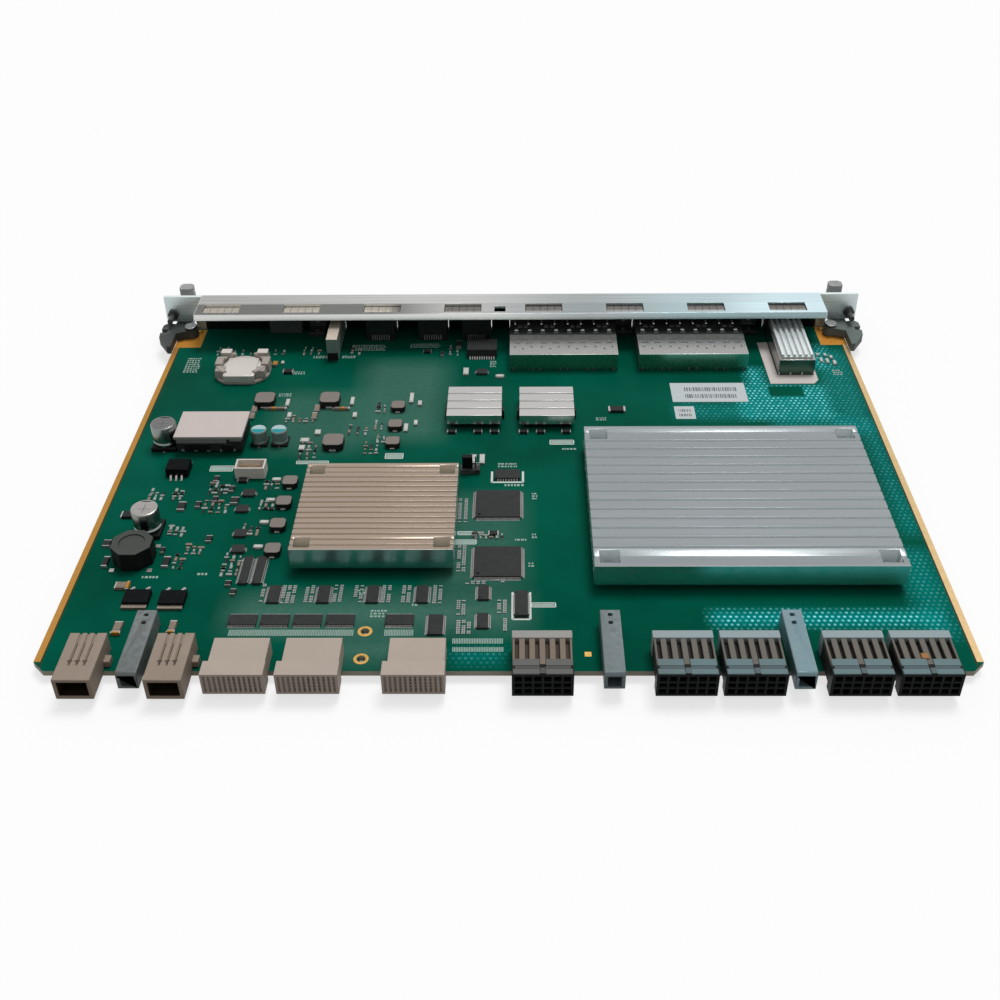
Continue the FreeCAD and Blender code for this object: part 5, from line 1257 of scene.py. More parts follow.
@dataclass
class Latches(Assembly):
    """Ejector levers on their pins, and the captive screws in the ears."""

    handle_x: float = 182.25
    pivot: Spot = (176, 264)
    boss: Spot = (4.8, 6.3)
    slimming: float = 0.62
    ribs: int = 6
    rib_low: float = 8.2
    rib_pitch: float = 1.6
    rib_setback: float = 3.5
    rib_size: Corner = (7.8, 4.6, 0.7)

    def build(self) -> None:
        """Dresses levers, pins and screws, and adds grip ribs."""
        grid = self.grid
        for side, sign, finish in (("left", -1, Palette.left_lever), ("right", 1, Palette.right_lever)):
            lever = f"{side}_ejector_lever"
            self._slim(self.dress(lever, finish, Slot.LEVER, 0.6, 3), sign)
            self.dress(f"{side}_captive_screw", Palette.dark_steel, Slot.FASTENER, 0.25)
            ribs = self.pen()
            face = grid.extent(lever)[1][1]
            for rib in range(self.ribs):
                level = self.rib_low - grid.top + self.rib_pitch * rib
                ribs.box(sign * self.handle_x, face - self.rib_setback, level, *self.rib_size)
            self.piece(f"{side}_grip_ribs", ribs, Palette.grip, Slot.LEVER, bevel=0.2, body=f"{side}_lever")
        self.dress("pivot_pins", Palette.steel, Slot.FASTENER, 0.3)

    def _slim(self, lever: Piece, sign: int) -> None:
        """Draws in the boss of a dressed lever, so that the pad under it shows.

        Args:
            lever: dressed lever.
            sign: -1 for the left one, 1 for the right one.
        """
        x, y = self.pivot
        pivot = self.grid.point(sign * x, y).xy
        inner, outer = (radius * MM for radius in self.boss)
        for vertex in lever.data.vertices:
            offset = vertex.co.xy - pivot
            if inner < offset.length < outer:
                vertex.co.xy = pivot + offset * self.slimming


@dataclass
class Ports(Assembly):
    """Upright serial-bus socket, network jacks and light pipes."""

    jacks: Named = (("left", -70.6), ("middle", -42), ("right", -18))
    springs: Blocks = mirrored(((4, 8, 0), (2.2, 6, 0.12)))
    seam: Blocks = (((0, 14, 0), (13, 0.3, 0.05)),)
    contacts: Blocks = tuple(((-4.45 + 1.27 * index, -0.25, 0.6), (0.5, 0.5, 3)) for index in range(8))
    upright_x: float = -94.5
    upright_back: Blocks = (((0, -0.05, 0), (5.6, 0.2, 4.2)),) + mirrored(((1.8, -1.4, 0), (1, 2.6, 0.5)))

    def build(self) -> None:
        """Dresses the ports and adds their shield springs and seams."""
        grid = self.grid
        self.dress("usb_socket", Palette.upright, Slot.SHELL, 0.25)
        self.dress("light_pipes", Palette.pipe, Slot.PIPE, 0.15)
        shield, dark = self.pens(2)
        for name, x in self.jacks:
            jack = f"{name}_network_jack"
            self.dress(jack, Palette.jack, Slot.JACK, 0.25)
            (_, rear, _), (_, _, top) = grid.extent(jack)
            shield.blocks(x, rear, top, self.springs)
            dark.blocks(x, rear, top, self.seam)
            shield.blocks(x, rear, 0, self.contacts)
        dark.blocks(self.upright_x, grid.extent("usb_socket")[0][1], 0, self.upright_back)
        self.piece("port_shields", shield, Palette.tin, Slot.SHELL)
        self.piece("port_seams", dark, Palette.jack_front, Slot.JACK)


@dataclass
class Cages(Assembly):
    """Ganged transceiver cages and the wide cage with its ribbed sink."""

    middles: Spot = (28.8, 96.8)
    rear: float = 225.2
    top: float = 9.6
    bays: int = 4
    bay: float = 14.25
    holes: Spots = ((-4.4, 8), (0, 6), (4.4, 8))
    hole: Spot = (0.55, 0.04)
    # The first block is a dark sheet that paints the flange's shadow over each lid; the two small ones are
    # slots.
    slots: Blocks = (((0, 33.6, 0), (14.25, 25.2, 0.03)),) + mirrored(((3.2, 12.2, 0), (3.6, 0.5, 0.04)))
    springs: Blocks = (((0, 18.6, 0), (14.25, 4.8, 0.03)),) + mirrored(
        ((3.6, 23.6, 0), (2.6, 2, 0.3), 0.2), ((1.62, 30.4, 0), (2.4, 2.6, 0.4), 0.2))
    tabs: Blocks = (((-4.2, 34.6, 0), (1, 4, 0.5), 0.2), ((3, 34.6, 0), (1, 4, 0.5), 0.2)) + mirrored(
        ((3.6, 26.2, 0), (2, 1.5, 0.5), 0.2))
    legs: Blocks = mirrored(((5.2, -0.5, 0), (0.7, 0.5, 1.6)))
    wide_x: float = 149.8
    wide_legs: Blocks = mirrored(((3, -0.4, 0), (0.7, 0.5, 1.8)), ((9, -0.4, 0), (0.7, 0.5, 1.8)))
    film_height: float = 0.3
    film: Spots = (
        (134.6, 253.6), (135.2, 210.4), (157.6, 210.4), (160.4, 214), (160.4, 224), (159.5, 224),
        (159.5, 219.1), (140.1, 219.1), (140.1, 253.6))

    def build(self) -> None:
        """Dresses the shells and adds their tabs, springs, slots, rear legs and painted shade on the lids."""
        for side in ("left", "right"):
            self.dress(f"{side}_transceiver_cage", Palette.shell, Slot.SHELL, 0.3)
        self.dress("wide_cage", Palette.wide_shell, Slot.SHELL, 0.25)
        self.dress("wide_cage_sink", Palette.rib_sink, Slot.SINK, 0.15)
        sheet = self.pen()
        sheet.prism(self.film, 0, self.film_height)
        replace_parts(self.piece("insulating_sheet", sheet, Palette.film, Slot.FILM), "cage_insulator")
        self.paint("cage_sockets", Palette.socket)
        self._details()

    def _details(self) -> None:
        """Adds tabs, springs, discs, slots and a sheet on the lids in painted light and shade, and legs
        behind.
        """
        bright, grey, dark = self.pens(3)
        rear, top = self.rear, self.top
        for x in (middle + offset for middle in self.middles for offset in spread(self.bays, self.bay)):
            # Painted light and shade: dark discs for the vent holes, a dark sheet for the flange's shadow,
            # grey springs in that shade and pale tabs as highlights.
            for across, along in self.holes:
                dark.rod(x + across, rear + along, top, *self.hole, 14)
            dark.blocks(x, rear, top, self.slots)
            grey.blocks(x, rear, top, self.springs)
            bright.blocks(x, rear, top, self.tabs)
            grey.blocks(x, rear, 0, self.legs)
        bright.blocks(self.wide_x, self.grid.extent("wide_cage")[0][1], 0, self.wide_legs)
        self.piece("cage_tabs_painted_highlight", bright, Palette.shell_tabs_highlight, Slot.SHELL)
        self.piece("cage_springs_painted_shade", grey, Palette.shell_springs_shade, Slot.SHELL)
        self.piece("cage_painted_shade", dark, Palette.shell_dark, Slot.SOCKET)


@dataclass
class HeatSinks(Assembly):
    """Finned sinks, the chips under them and their screws."""

    small: Spots = ((-16.8, 182.3), (18.9, 182))
    small_size: float = 27.0
    clip: Corner = (1.2, 4.0, 4.6)

    def build(self) -> None:
        """Dresses every sink, its screws and the chips that it sits on."""
        for node, finish, slot, bevel in (
                ("main_heat_sink", Palette.main_sink, Slot.SINK, 0.12),
                ("mid_heat_sink", Palette.mid_sink, Slot.SINK, 0.12),
                ("small_heat_sinks", Palette.small_sink, Slot.SINK, 0.12),
                ("sink_screws", Palette.sink_screw, Slot.FASTENER, 0.2),
                ("sink_nuts", Palette.steel, Slot.FASTENER, 0.2),
                ("board_screws", Palette.steel, Slot.FASTENER, 0.2),
                ("main_chip", Palette.chip, Slot.CHIP, 0.15),
                ("mid_chip", Palette.chip, Slot.CHIP, 0.15),
                ("small_sink_chips", Palette.chip, Slot.CHIP, 0.15)):
            self.dress(node, finish, slot, bevel)
        self._clips()

    def _clips(self) -> None:
        """Adds the clips that hold the small sinks at their sides."""
        clips = self.pen()
        reach = self.small_size / 2 + self.clip[0] / 2
        for x, y in self.small:
            for sign in SIGNS:
                clips.box(x + sign * reach, y - 2, 0, *self.clip, taper=0.15)
        self.piece("sink_clips", clips, Palette.part_dark, Slot.FASTENER)


@dataclass
class PowerConnectors(Assembly):
    """Beige power housings with their blades, and painted shade in their grooves and mouths."""

    places: Named = (("left", -162), ("right", -127.8))
    lines: Corner = (-2.9, 0, 2.9)
    # Dark strips on the housing tops: painted shade in the grooves.
    line: Blocks = (((0, -3.2, 8.5), (2, 0.5, 0.04)), ((0, -1.2, 7.71), (0.85, 17, 0.02)))
    # Dark plates inside each mouth: painted shade.
    mouth_shade: Blocks = mirrored(((5.65, -7.6, 0.05), (0.16, 11, 6.9))) + (
        ((0, -7.6, 6.86), (11.4, 11, 0.12)), ((0, -7.6, 0.02), (11.4, 11, 0.12)),
        ((0, -1.62, 0.05), (11.4, 0.2, 6.9)))

    def build(self) -> None:
        """Dresses the housings and paints shade into their grooves and mouths."""
        marks, mouth_shade = self.pens(2)
        for side, x in self.places:
            self.dress(f"{side}_power_connector", Palette.power, Slot.POWER, 0.35)
            for offset in self.lines:
                marks.blocks(x + offset, 0, 0, self.line)
            mouth_shade.blocks(x, 0, 0, self.mouth_shade)
        self.piece("power_groove_shade_marks", marks, Palette.power_groove_shade, Slot.CAP)
        self.piece("power_mouth_shade_linings", mouth_shade, Palette.power_mouth_shade, Slot.CAP)
        self.dress("power_contacts", Palette.brass, Slot.BRASS, 0.15)


@dataclass
class GuideSockets(Assembly):
    """Slate guide sockets with their inspection windows."""

    places: Named = (("left", -142.5), ("middle", 41), ("right", 112.4))
    window_z: float = 6.32
    window: Corner = (1.6, 1.6, 0.05)
    window_y: Spot = (23.9, 19.3)

    def build(self) -> None:
        """Dresses the castings and darkens their windows."""
        dark = self.pen()
        for side, x in self.places:
            self.dress(f"{side}_guide_socket", Palette.guide, Slot.GUIDE, 0.4, 3)
            for y in self.window_y:
                dark.box(x, y, self.window_z, *self.window)
        self.piece("guide_windows", dark, Palette.guide_dark, Slot.CAP)


@dataclass
class SignalConnectors(Assembly):
    """Beige signal connectors with rows of contact holes in painted shade."""

    places: Named = (("left", -102.6), ("middle", -74.6), ("right", -34.6))
    face: float = -10.5
    width: float = 23.8
    margin: float = 1.0
    columns: int = 12
    rows: int = 5
    row_pitch: float = 1.65
    # Each contact hole is a dark patch on the face: painted shade.
    hole: Blocks = (((0, 0.78, -0.4), (0.62, 0.1, 0.9)),)
    tail: Corner = (0.35, 0.9, 0.5)
    tails: int = 11
    tail_pitch: float = 1.9
    tail_start: float = -8.7
    tail_y: float = 10.6

    def build(self) -> None:
        """Dresses the housings and adds painted shade for the contact holes, and tails."""
        dark, tails = self.pens(2)
        pitch = (self.width - 2 * self.margin) / self.columns
        for side, x in self.places:
            self.dress(f"{side}_signal_connector", Palette.signal, Slot.SIGNAL, 0.2)
            for column in spread(self.columns, pitch):
                for row in range(self.rows):
                    dark.blocks(x + column, self.face, self.row_pitch * row, self.hole)
            for column in range(self.tails):
                tails.box(x + self.tail_start + self.tail_pitch * column, self.tail_y, 0, *self.tail)
        self.piece("signal_painted_hole_shade", dark, Palette.signal_hole_shade, Slot.CAP)
        self.piece("signal_tails", tails, Palette.tin, Slot.FASTENER)


@dataclass
class FastConnectors(Assembly):
    """High-speed connectors: slotted black shroud, grey lid, wafers and a light bar."""

    places: tuple[float, ...] = (14, 67.9, 93.5, 132.7, 158.3)
    width: float = 23.2
    face: float = -11.5
    low: float = -1.7
    top: float = 9.4
    margin: float = 1.1
    slots: int = 6
    levels: int = 3
    rib: float = 0.9
    panels: Blocks = mirrored(((6.1, 1.6, 0), (10.2, 2.9, 0.3), 0.15), ((6.1, 6.2, 0), (10, 3.8, 0.5), 0.15))
    bands: Blocks = (((0, 1.6, 0.6), (2, 2.9, 0.1)), ((0, 3.9, 0), (20.8, 1.6, 0.25)))
    key: Blocks = (((157.1, -2, 9.2), (3, 3.2, 1), 0.2),)

    def build(self) -> None:
        """Dresses the housings and adds cross ribs, contacts, lids and the key."""
        for index in range(1, len(self.places) + 1):
            self.dress(f"high_speed_connector_{index}", Palette.fast, Slot.FAST, 0.12)
        self.dress("wafer_packs", Palette.wafer, Slot.WAFER, 0.15)
        self.dress("wafer_stiffeners", Palette.stiffener, Slot.STIFFENER, 0.25)
        self._mouths()
        self._lids()

    def _mouths(self) -> None:
        """Adds two cross ribs and the contacts in every slot."""
        ribs, pins = self.pens(2)
        mouth = self.width - 2 * self.margin
        slot = (mouth + self.rib) / self.slots - self.rib
        base = self.low + self.margin
        step = (self.top - self.low - 2 * self.margin) / self.levels
        for x in self.places:
            for column in spread(self.slots, slot + self.rib):
                for level in range(1, self.levels):
                    z = base + step * level - self.rib / 2
                    ribs.box(x + column, self.face + 1.85, z, slot, 3.5, self.rib)
                for level in range(self.levels):
                    z = base + step * (level + 0.5) - 0.2
                    for offset in (-0.7, 0.7):
                        pins.box(x + column + offset, self.face + 3, z, 0.24, 1.2, 0.4)
        self.piece("fast_cross_ribs", ribs, Palette.fast, Slot.FAST)
        self.piece("fast_contacts", pins, Palette.brass, Slot.BRASS)

    def _lids(self) -> None:
        """Adds the grey band on each shroud, its two panels, and the orange key on the last one."""
        band, panels, key = self.pens(3)
        for x in self.places:
            panels.blocks(x, self.face, self.top, self.panels)
            band.blocks(x, self.face, self.top, self.bands)
        key.blocks(0, 0, 0, self.key)
        self.piece("fast_bands", band, Palette.fast_band, Slot.STIFFENER)
        self.piece("fast_panels", panels, Palette.fast_panel, Slot.STIFFENER)
        self.piece("fast_key", key, Palette.key, Slot.HEADER, bevel=0.15)


@dataclass
class Converter(Assembly):
    """The board converter: pale lid over a dark module with parts along its near side."""

    x: float = -142.8
    y: float = 158.8
    depth: float = 22.9
    rim: Blocks = (((-3.4, 0.45, 6.3), (24, 0.7, 2.1)), ((13, 0.45, 7.3), (5.6, 0.7, 1.1)))
    cores: Blocks = (((-6, 0.75, 2.2), (12, 1, 3.6)), ((8.5, 0.75, 1.8), (6, 1, 3.6)))
    pads: Blocks = tuple(((-13 + 6.2 * index, 0.75, 1.5), (1.4, 0.9, 1.2)) for index in range(5))
    pins: tuple[float, ...] = (-14, -7, 7, 14)

    def build(self) -> None:
        """Dresses the module and adds a rim, cores, near-side pads and pins."""
        self.dress("converter_body", Palette.converter, Slot.CONVERTER, 0.3)
        self.dress("converter_plate", Palette.plate, Slot.PLATE, 0.3)
        near, far = self.y - self.depth / 2, self.y + self.depth / 2
        rim, core, metal = self.pens(3)
        rim.blocks(self.x, near, 0, self.rim)
        core.blocks(self.x, near, 0, self.cores)
        metal.blocks(self.x, near, 0, self.pads)
        for offset in self.pins:
            metal.rod(self.x + offset, far - 2.4, 0, 0.7, 1.5, 16)
        self.piece("converter_rim", rim, Palette.rim, Slot.PLATE, bevel=0.1)
        self.piece("converter_cores", core, Palette.choke, Slot.CONVERTER, bevel=0.2)
        self.piece("converter_pads", metal, Palette.tin, Slot.FASTENER)


@dataclass
class Capacitors(Assembly):
    """Aluminium cans on black bases and the two polymer capacitors."""

    far_can: Spot = (-165.4, 155.6)
    near_can: Spot = (-157.9, 87.6)
    polymers: Spots = ((-120.4, 157.5), (-110.6, 157.5))
    can_low: float = 2.2
    can_radius: float = 6.0
    can_height: float = 10.8
    scores: Blocks = (((0, -1, -0.06), (6, 0.25, 0.02)), ((0, -1, -0.06), (0.25, 6, 0.02)))
    can_legs: Blocks = (((0, -6.9, 0), (1, 1.4, 0.5)), ((0, 6.9, 0), (1, 1.4, 0.5)))
    polymer_low: float = 1.2
    polymer_radius: float = 3.9
    polymer_top: float = 8.0
    polymer_foot: float = 8.2
    polymer_leg: Blocks = (((0, -4.6, 0), (0.9, 1.2, 0.4)),)

    def build(self) -> None:
        """Makes the round cans with their rolled rims, ink marks and bands."""
        ink, scores, legs = self.pens(3)
        r, low, top = self.can_radius, self.can_low, self.can_low + self.can_height
        side = ((r - 0.1, low), (r, low + 0.3), (r, low + 1.3), (r - 0.5, low + 1.9), (r, low + 2.5),
                (r, top - 0.7), (r - 0.25, top - 0.2), (r - 0.7, top - 0.05), (r - 1, top - 0.05))
        arc = [math.radians(60 + 7.5 * step) for step in range(9)]
        for (x, y), name, finish in ((self.far_can, "far_round_can", Palette.can),
                                     (self.near_can, "near_round_can", Palette.near_can)):
            can = self.pen()
            can.lathe(x, y, side)
            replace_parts(self.piece(name, can, finish, Slot.CAN), "electrolytic_cans")
            ink.prism(ring(x, y, r - 1.1, arc), top - 0.05, top)
            # The vent scores are dark strips on each lid: painted shade in the grooves.
            scores.blocks(x, y, top, self.scores)
            legs.blocks(x, y, 0, self.can_legs)
        self.piece("can_marks", ink, Palette.can_ink, Slot.BASE)
        self.piece("can_scores", scores, Palette.dark_steel, Slot.CAN)
        self.dress("can_bases", Palette.base_black, Slot.BASE, 0.5)
        self._polymers()
        for x, y in self.polymers:
            legs.blocks(x, y, 0, self.polymer_leg)
        self.piece("capacitor_legs", legs, Palette.tin, Slot.FASTENER)

    def _polymers(self) -> None:
        """Adds the small cans: black foot, grey sleeve, cyan band and pale lid."""
        foot, sleeve, band, lid = self.pens(4)
        r, low, top, wide = self.polymer_radius, self.polymer_low, self.polymer_top, self.polymer_foot
        side = ((r, low), (r, 2), (r - 0.3, 2.4), (r, 2.8), (r, top - 0.6), (r - 0.4, top - 0.1))
        arc = [math.radians(184 + 12.29 * step) for step in range(15)]
        for x, y in self.polymers:
            foot.box(x, y, 0, wide, wide, low)
            sleeve.lathe(x, y, side)
            lid.rod(x, y, top - 0.1, r - 0.5, 0.08, 40)
            band.prism(ring(x, y, r - 0.6, arc), top - 0.02, top)
        piece = self.piece("polymer_feet", foot, Palette.base_black, Slot.BASE, bevel=0.3)
        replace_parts(piece, "polymer_capacitors")
        self.piece("polymer_sleeves", sleeve, Palette.polymer, Slot.POLYMER)
        self.piece("polymer_lids", lid, Palette.polymer_top, Slot.POLYMER)
        self.piece("polymer_bands", band, Palette.polymer_band, Slot.POLYMER)


@dataclass
class Coils(Assembly):
    """The octagonal choke and the shielded inductors with their terminals."""

    choke: Spot = (-159.3, 68.4)
    choke_reach: Spot = (8, 8.2)
    large: Spots = ((-123.6, 193), (-90.6, 193), (-84.3, 154.4))
    small: Spots = (
        (-55.6, 187.4), (-55.7, 170.1), (-55.8, 154.9), (-100.5, 122.3), (-101, 106.5), (-101.1, 89.8),
        (-100.6, 72.2))
    large_size: Spot = (10, 1.4)
    small_size: Spot = (7, 1)

    def build(self) -> None:
        """Dresses the cores and adds their terminals."""
        self.dress("choke", Palette.choke, Slot.CHOKE, 0.5, 3)
        self.dress("inductors", Palette.coil, Slot.COIL, 0.3)
        metal = self.pen()
        x, y = self.choke
        across, along = self.choke_reach
        for sx in SIGNS:
            for sy in SIGNS:
                metal.box(x + sx * across, y + sy * along, 0, 2.2, 2.2, 0.5)
        for spots, (size, height) in ((self.large, self.large_size), (self.small, self.small_size)):
            for x, y in spots:
                for sign in SIGNS:
                    metal.box(x, y + sign * (size / 2 + 0.35), 0, size * 0.32, 0.9, height)
        self.piece("coil_terminals", metal, Palette.tin, Slot.FASTENER, bevel=0.1, segments=1)


@dataclass
class Transistors(Assembly):
    """Power transistors with bronze tabs and tinned legs."""

    tall: Spot = (-154.5, 133)
    flat: Spots = ((-151.8, 41.5), (-136.9, 41))
    leg: Spots = (
        (0, 1.2), (1, 1.2), (2, 0), (3.6, 0), (3.6, 0.5), (2.2, 0.5), (1.2, 1.8), (0, 1.8))
    tall_tab: Blocks = (((0, 5.5, 1.2), (10, 1.9, 0.08)),)
    flat_tabs: Blocks = (((0, -5.2, 1.2), (10.3, 1.9, 0.08)), ((0, -6.22, 0.1), (10.3, 0.06, 1.1)))

    def build(self) -> None:
        """Dresses the bodies and adds tab faces and legs."""
        self.dress("power_transistors", Palette.chip, Slot.CHIP, 0.25)
        legs, tabs = self.pens(2)
        x, y = self.tall
        for offset in (-2.54, 0, 2.54):
            legs.sweep(self.leg, (x + offset, y - 4.5), Side.NEAR, 0.9)
        tabs.blocks(x, y, 0, self.tall_tab)
        for x, y in self.flat:
            for offset in (-3.2, 3.2):
                legs.sweep(self.leg, (x + offset, y + 4.2), Side.FAR, 1.1)
            tabs.blocks(x, y, 0, self.flat_tabs)
        self.piece("transistor_legs", legs, Palette.tin, Slot.FASTENER)
        self.piece("transistor_tabs", tabs, Palette.tab, Slot.BRASS)


@dataclass(frozen=True)
class Package:
    """One kind of chip: its size, the sides with leads, and the leads' pitch and reach."""

    width: float
    depth: float
    height: float
    pitch: float
    reach: float = 1.1
    sides: tuple[Side, ...] = (Side.LEFT, Side.RIGHT)


@dataclass
class Chips(Assembly):
    """Flat chips with gull-wing leads and pin-one dimples."""

    flat_pack: Package = Package(20, 20, 1.4, 0.5, 1.4, tuple(Side))
    flat_packs: Spots = ((-4.3, 105.9), (-3.9, 64.9))
    rows: tuple[tuple[Package, Spots], ...] = (
        (Package(11.6, 7, 1.5, 1.27, sides=(Side.FAR, Side.NEAR)), ((-0.2, 128.9),)),
        (Package(5.3, 15, 1.5, 1.27), ((6.1, 38.1),)),
        (Package(4.5, 9, 1, 0.65), ((-9.5, 45.2), (-9.5, 28))),
        (Package(5, 10.7, 1, 0.65), ((-95.8, 44.3), (-75.3, 44.3), (-55.1, 44.3), (-34.7, 44.3))),
        (Package(11.6, 6.3, 1, 0.5, sides=(Side.FAR, Side.NEAR)),
         ((-106, 28.5), (-92.9, 28.5), (-79.8, 28.5), (-66.7, 28.5), (-42.8, 28.5))),
        (Package(6, 11.8, 1, 0.5), ((-28.2, 25.7),)),
        (Package(3.7, 18, 1.2, 1.27), ((-110.2, 59.7), (-104.4, 59.7))))
    tiny: Package = Package(5.5, 5, 1.2, 1.27, 0.9)
    tinies: Spots = ((-14.3, 222.9), (-118.5, 115), (-119.5, 103), (-117, 85), (-116, 74))
    wide: Package = Package(16, 11.4, 2, 1.27, 2.2, (Side.NEAR,))
    wide_spot: Spot = (-14.6, 244.4)
    lead: float = 0.14
    dimple: float = 0.02

    def build(self) -> None:
        """Dresses the bodies and adds all leads and dimples."""
        self.dress("flat_chips", Palette.flat_pack, Slot.CHIP, 0.15)
        leads, dots = self.pens(2)
        for x, y in self.flat_packs:
            self._leads(leads, self.flat_pack, (x, y))
            dots.rod(x - 8.2, y - 8.2, self.flat_pack.height, 0.7, self.dimple, 20)
        for package, spots in self.rows:
            for x, y in spots:
                self._leads(leads, package, (x, y))
                dots.rod(x - package.width / 2 + 0.9, y - package.depth / 2 + 0.9, package.height, 0.4,
                         self.dimple, 16)
        for spot in self.tinies:
            self._leads(leads, self.tiny, spot)
        self._leads(leads, self.wide, self.wide_spot)
        self.piece("chip_leads", leads, Palette.tin, Slot.FASTENER)
        self.piece("chip_dimples", dots, Palette.chip, Slot.CHIP)

    def _leads(self, pen: MeshPen, package: Package, spot: Spot) -> None:
        """Adds the rows of gull-wing leads of one chip.

        Args:
            pen: pen that draws.
            package: kind of chip.
            spot: its middle.
        """
        x, y = spot
        mid, thick, reach, pitch = package.height * 0.5, self.lead, package.reach, package.pitch
        profile = ((0, mid), (reach * 0.3, mid), (reach * 0.5, 0), (reach, 0), (reach, thick),
                   (reach * 0.5 + thick, thick), (reach * 0.3 + thick, mid + thick), (0, mid + thick))
        for side in package.sides:
            dx, dy = side.value
            length = package.depth if dx else package.width
            for along in spread(int((length - pitch) / pitch), pitch):
                root = (x + dx * package.width / 2 + (along if dy else 0),
                        y + dy * package.depth / 2 + (along if dx else 0))
                pen.sweep(profile, root, side, pitch * 0.48)


@dataclass
class Headers(Assembly):
    """White shrouded header, pin strip and its jumper cap."""

    header: Spot = (-120, 131)
    pins: int = 4
    pitch: float = 2.5
    pin: Blocks = (((0, 0, 1.5), (0.64, 0.64, 4), 0.1),)
    tail: Blocks = (((0, 4.5, 0.3), (0.9, 1.4, 1.6)),)

    def build(self) -> None:
        """Dresses the mouldings and adds the header's pins and tails."""
        self.dress("pin_headers", Palette.cream, Slot.HEADER, 0.2)
        self.dress("jumper_cap", Palette.cap, Slot.CAP, 0.2)
        pins, tails = self.pens(2)
        x, y = self.header
        for offset in spread(self.pins, self.pitch):
            pins.blocks(x + offset, y, 0, self.pin)
            tails.blocks(x + offset, y, 0, self.tail)
        self.piece("header_pins", pins, Palette.gold, Slot.BRASS)
        self.piece("header_tails", tails, Palette.tab, Slot.BRASS)


@dataclass
class CoinCell(Assembly):
    """Coin cell under a flat clip in a round cream holder with two raised lugs."""

    x: float = -140.5
    y: float = 224.0
    floor: float = 1.6
    floor_radii: Spot = (15, 14)
    floor_reach: Spot = (14.4, 12.4)
    wall_outer: Spot = (13.6, 12.3)
    wall_inner: Spot = (10.6, 10.4)
    wall_top: float = 6.2
    wall_steps: int = 8
    walls: Spots = ((22, 66), (114, 158), (196, 232), (308, 344))
    lugs: tuple[tuple[Spot, Corner, float], ...] = (
        ((9.6, 9.2), (6.4, 5.4, 6.4), 0.4), ((12.2, 2), (4.4, 8.6, 4.9), 0.3),
        ((10.6, -5.6), (5.4, 5.6, 4.2), 0.3))
    disc: Spots = ((9.4, 1.6), (10, 1.9), (10, 4.3), (9.6, 4.65), (8.9, 4.8))
    clip_tongue: Spots = (
        (-8.2, -11.6), (-7, -12.5), (7, -12.5), (8.2, -11.6), (8.2, -10.6), (-8.2, -10.6))

    def build(self) -> None:
        """Makes the holder's round walls, lugs and wings, the cell and its clip."""
        holder, cell, clip = self.pens(3)
        x, y = self.x, self.y
        (wide, deep), (across, along) = self.floor_radii, self.floor_reach
        plan = [(x + max(-across, min(across, wide * math.cos(angle))),
                 y + max(-along, min(along, deep * math.sin(angle)))) for angle in turns(48)]
        holder.prism(plan, 0, self.floor)
        for start, stop in self.walls:
            self._wall(holder, start, stop)
        for sign in SIGNS:
            for (dx, dy), size, taper in self.lugs:
                holder.box(x + sign * dx, y + dy, self.floor, *size, taper=taper)
        cell.lathe(x, y, self.disc, 64)
        clip.box(x, y - 2.6, 4.8, 16.4, 18.4, 0.5, taper=0.15)
        clip.prism([(x + dx, y + dy) for dx, dy in self.clip_tongue], self.floor, 5.2)
        piece = self.piece("holder_moulding", holder, Palette.holder, Slot.HEADER, bevel=0.35, segments=3)
        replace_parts(piece, "coin_cell_holder")
        piece = self.piece("cell_disc", cell, Palette.cell, Slot.CELL)
        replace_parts(piece, "coin_cell")
        self.piece("holder_clip", clip, Palette.cell, Slot.CELL, bevel=0.2)

    def _wall(self, pen: MeshPen, start: float, stop: float) -> None:
        """Adds a piece of the holder's round wall.

        Args:
            pen: pen that draws.
            start: first angle in degrees.
            stop: last angle in degrees.
        """
        x, y, steps = self.x, self.y, self.wall_steps
        angles = [math.radians(start + (stop - start) * step / steps) for step in range(steps + 1)]
        outer, inner = ([(x + wide * math.cos(angle), y + deep * math.sin(angle)) for angle in angles]
                        for wide, deep in (self.wall_outer, self.wall_inner))
        pen.prism(outer + inner[::-1], self.floor, self.wall_top)


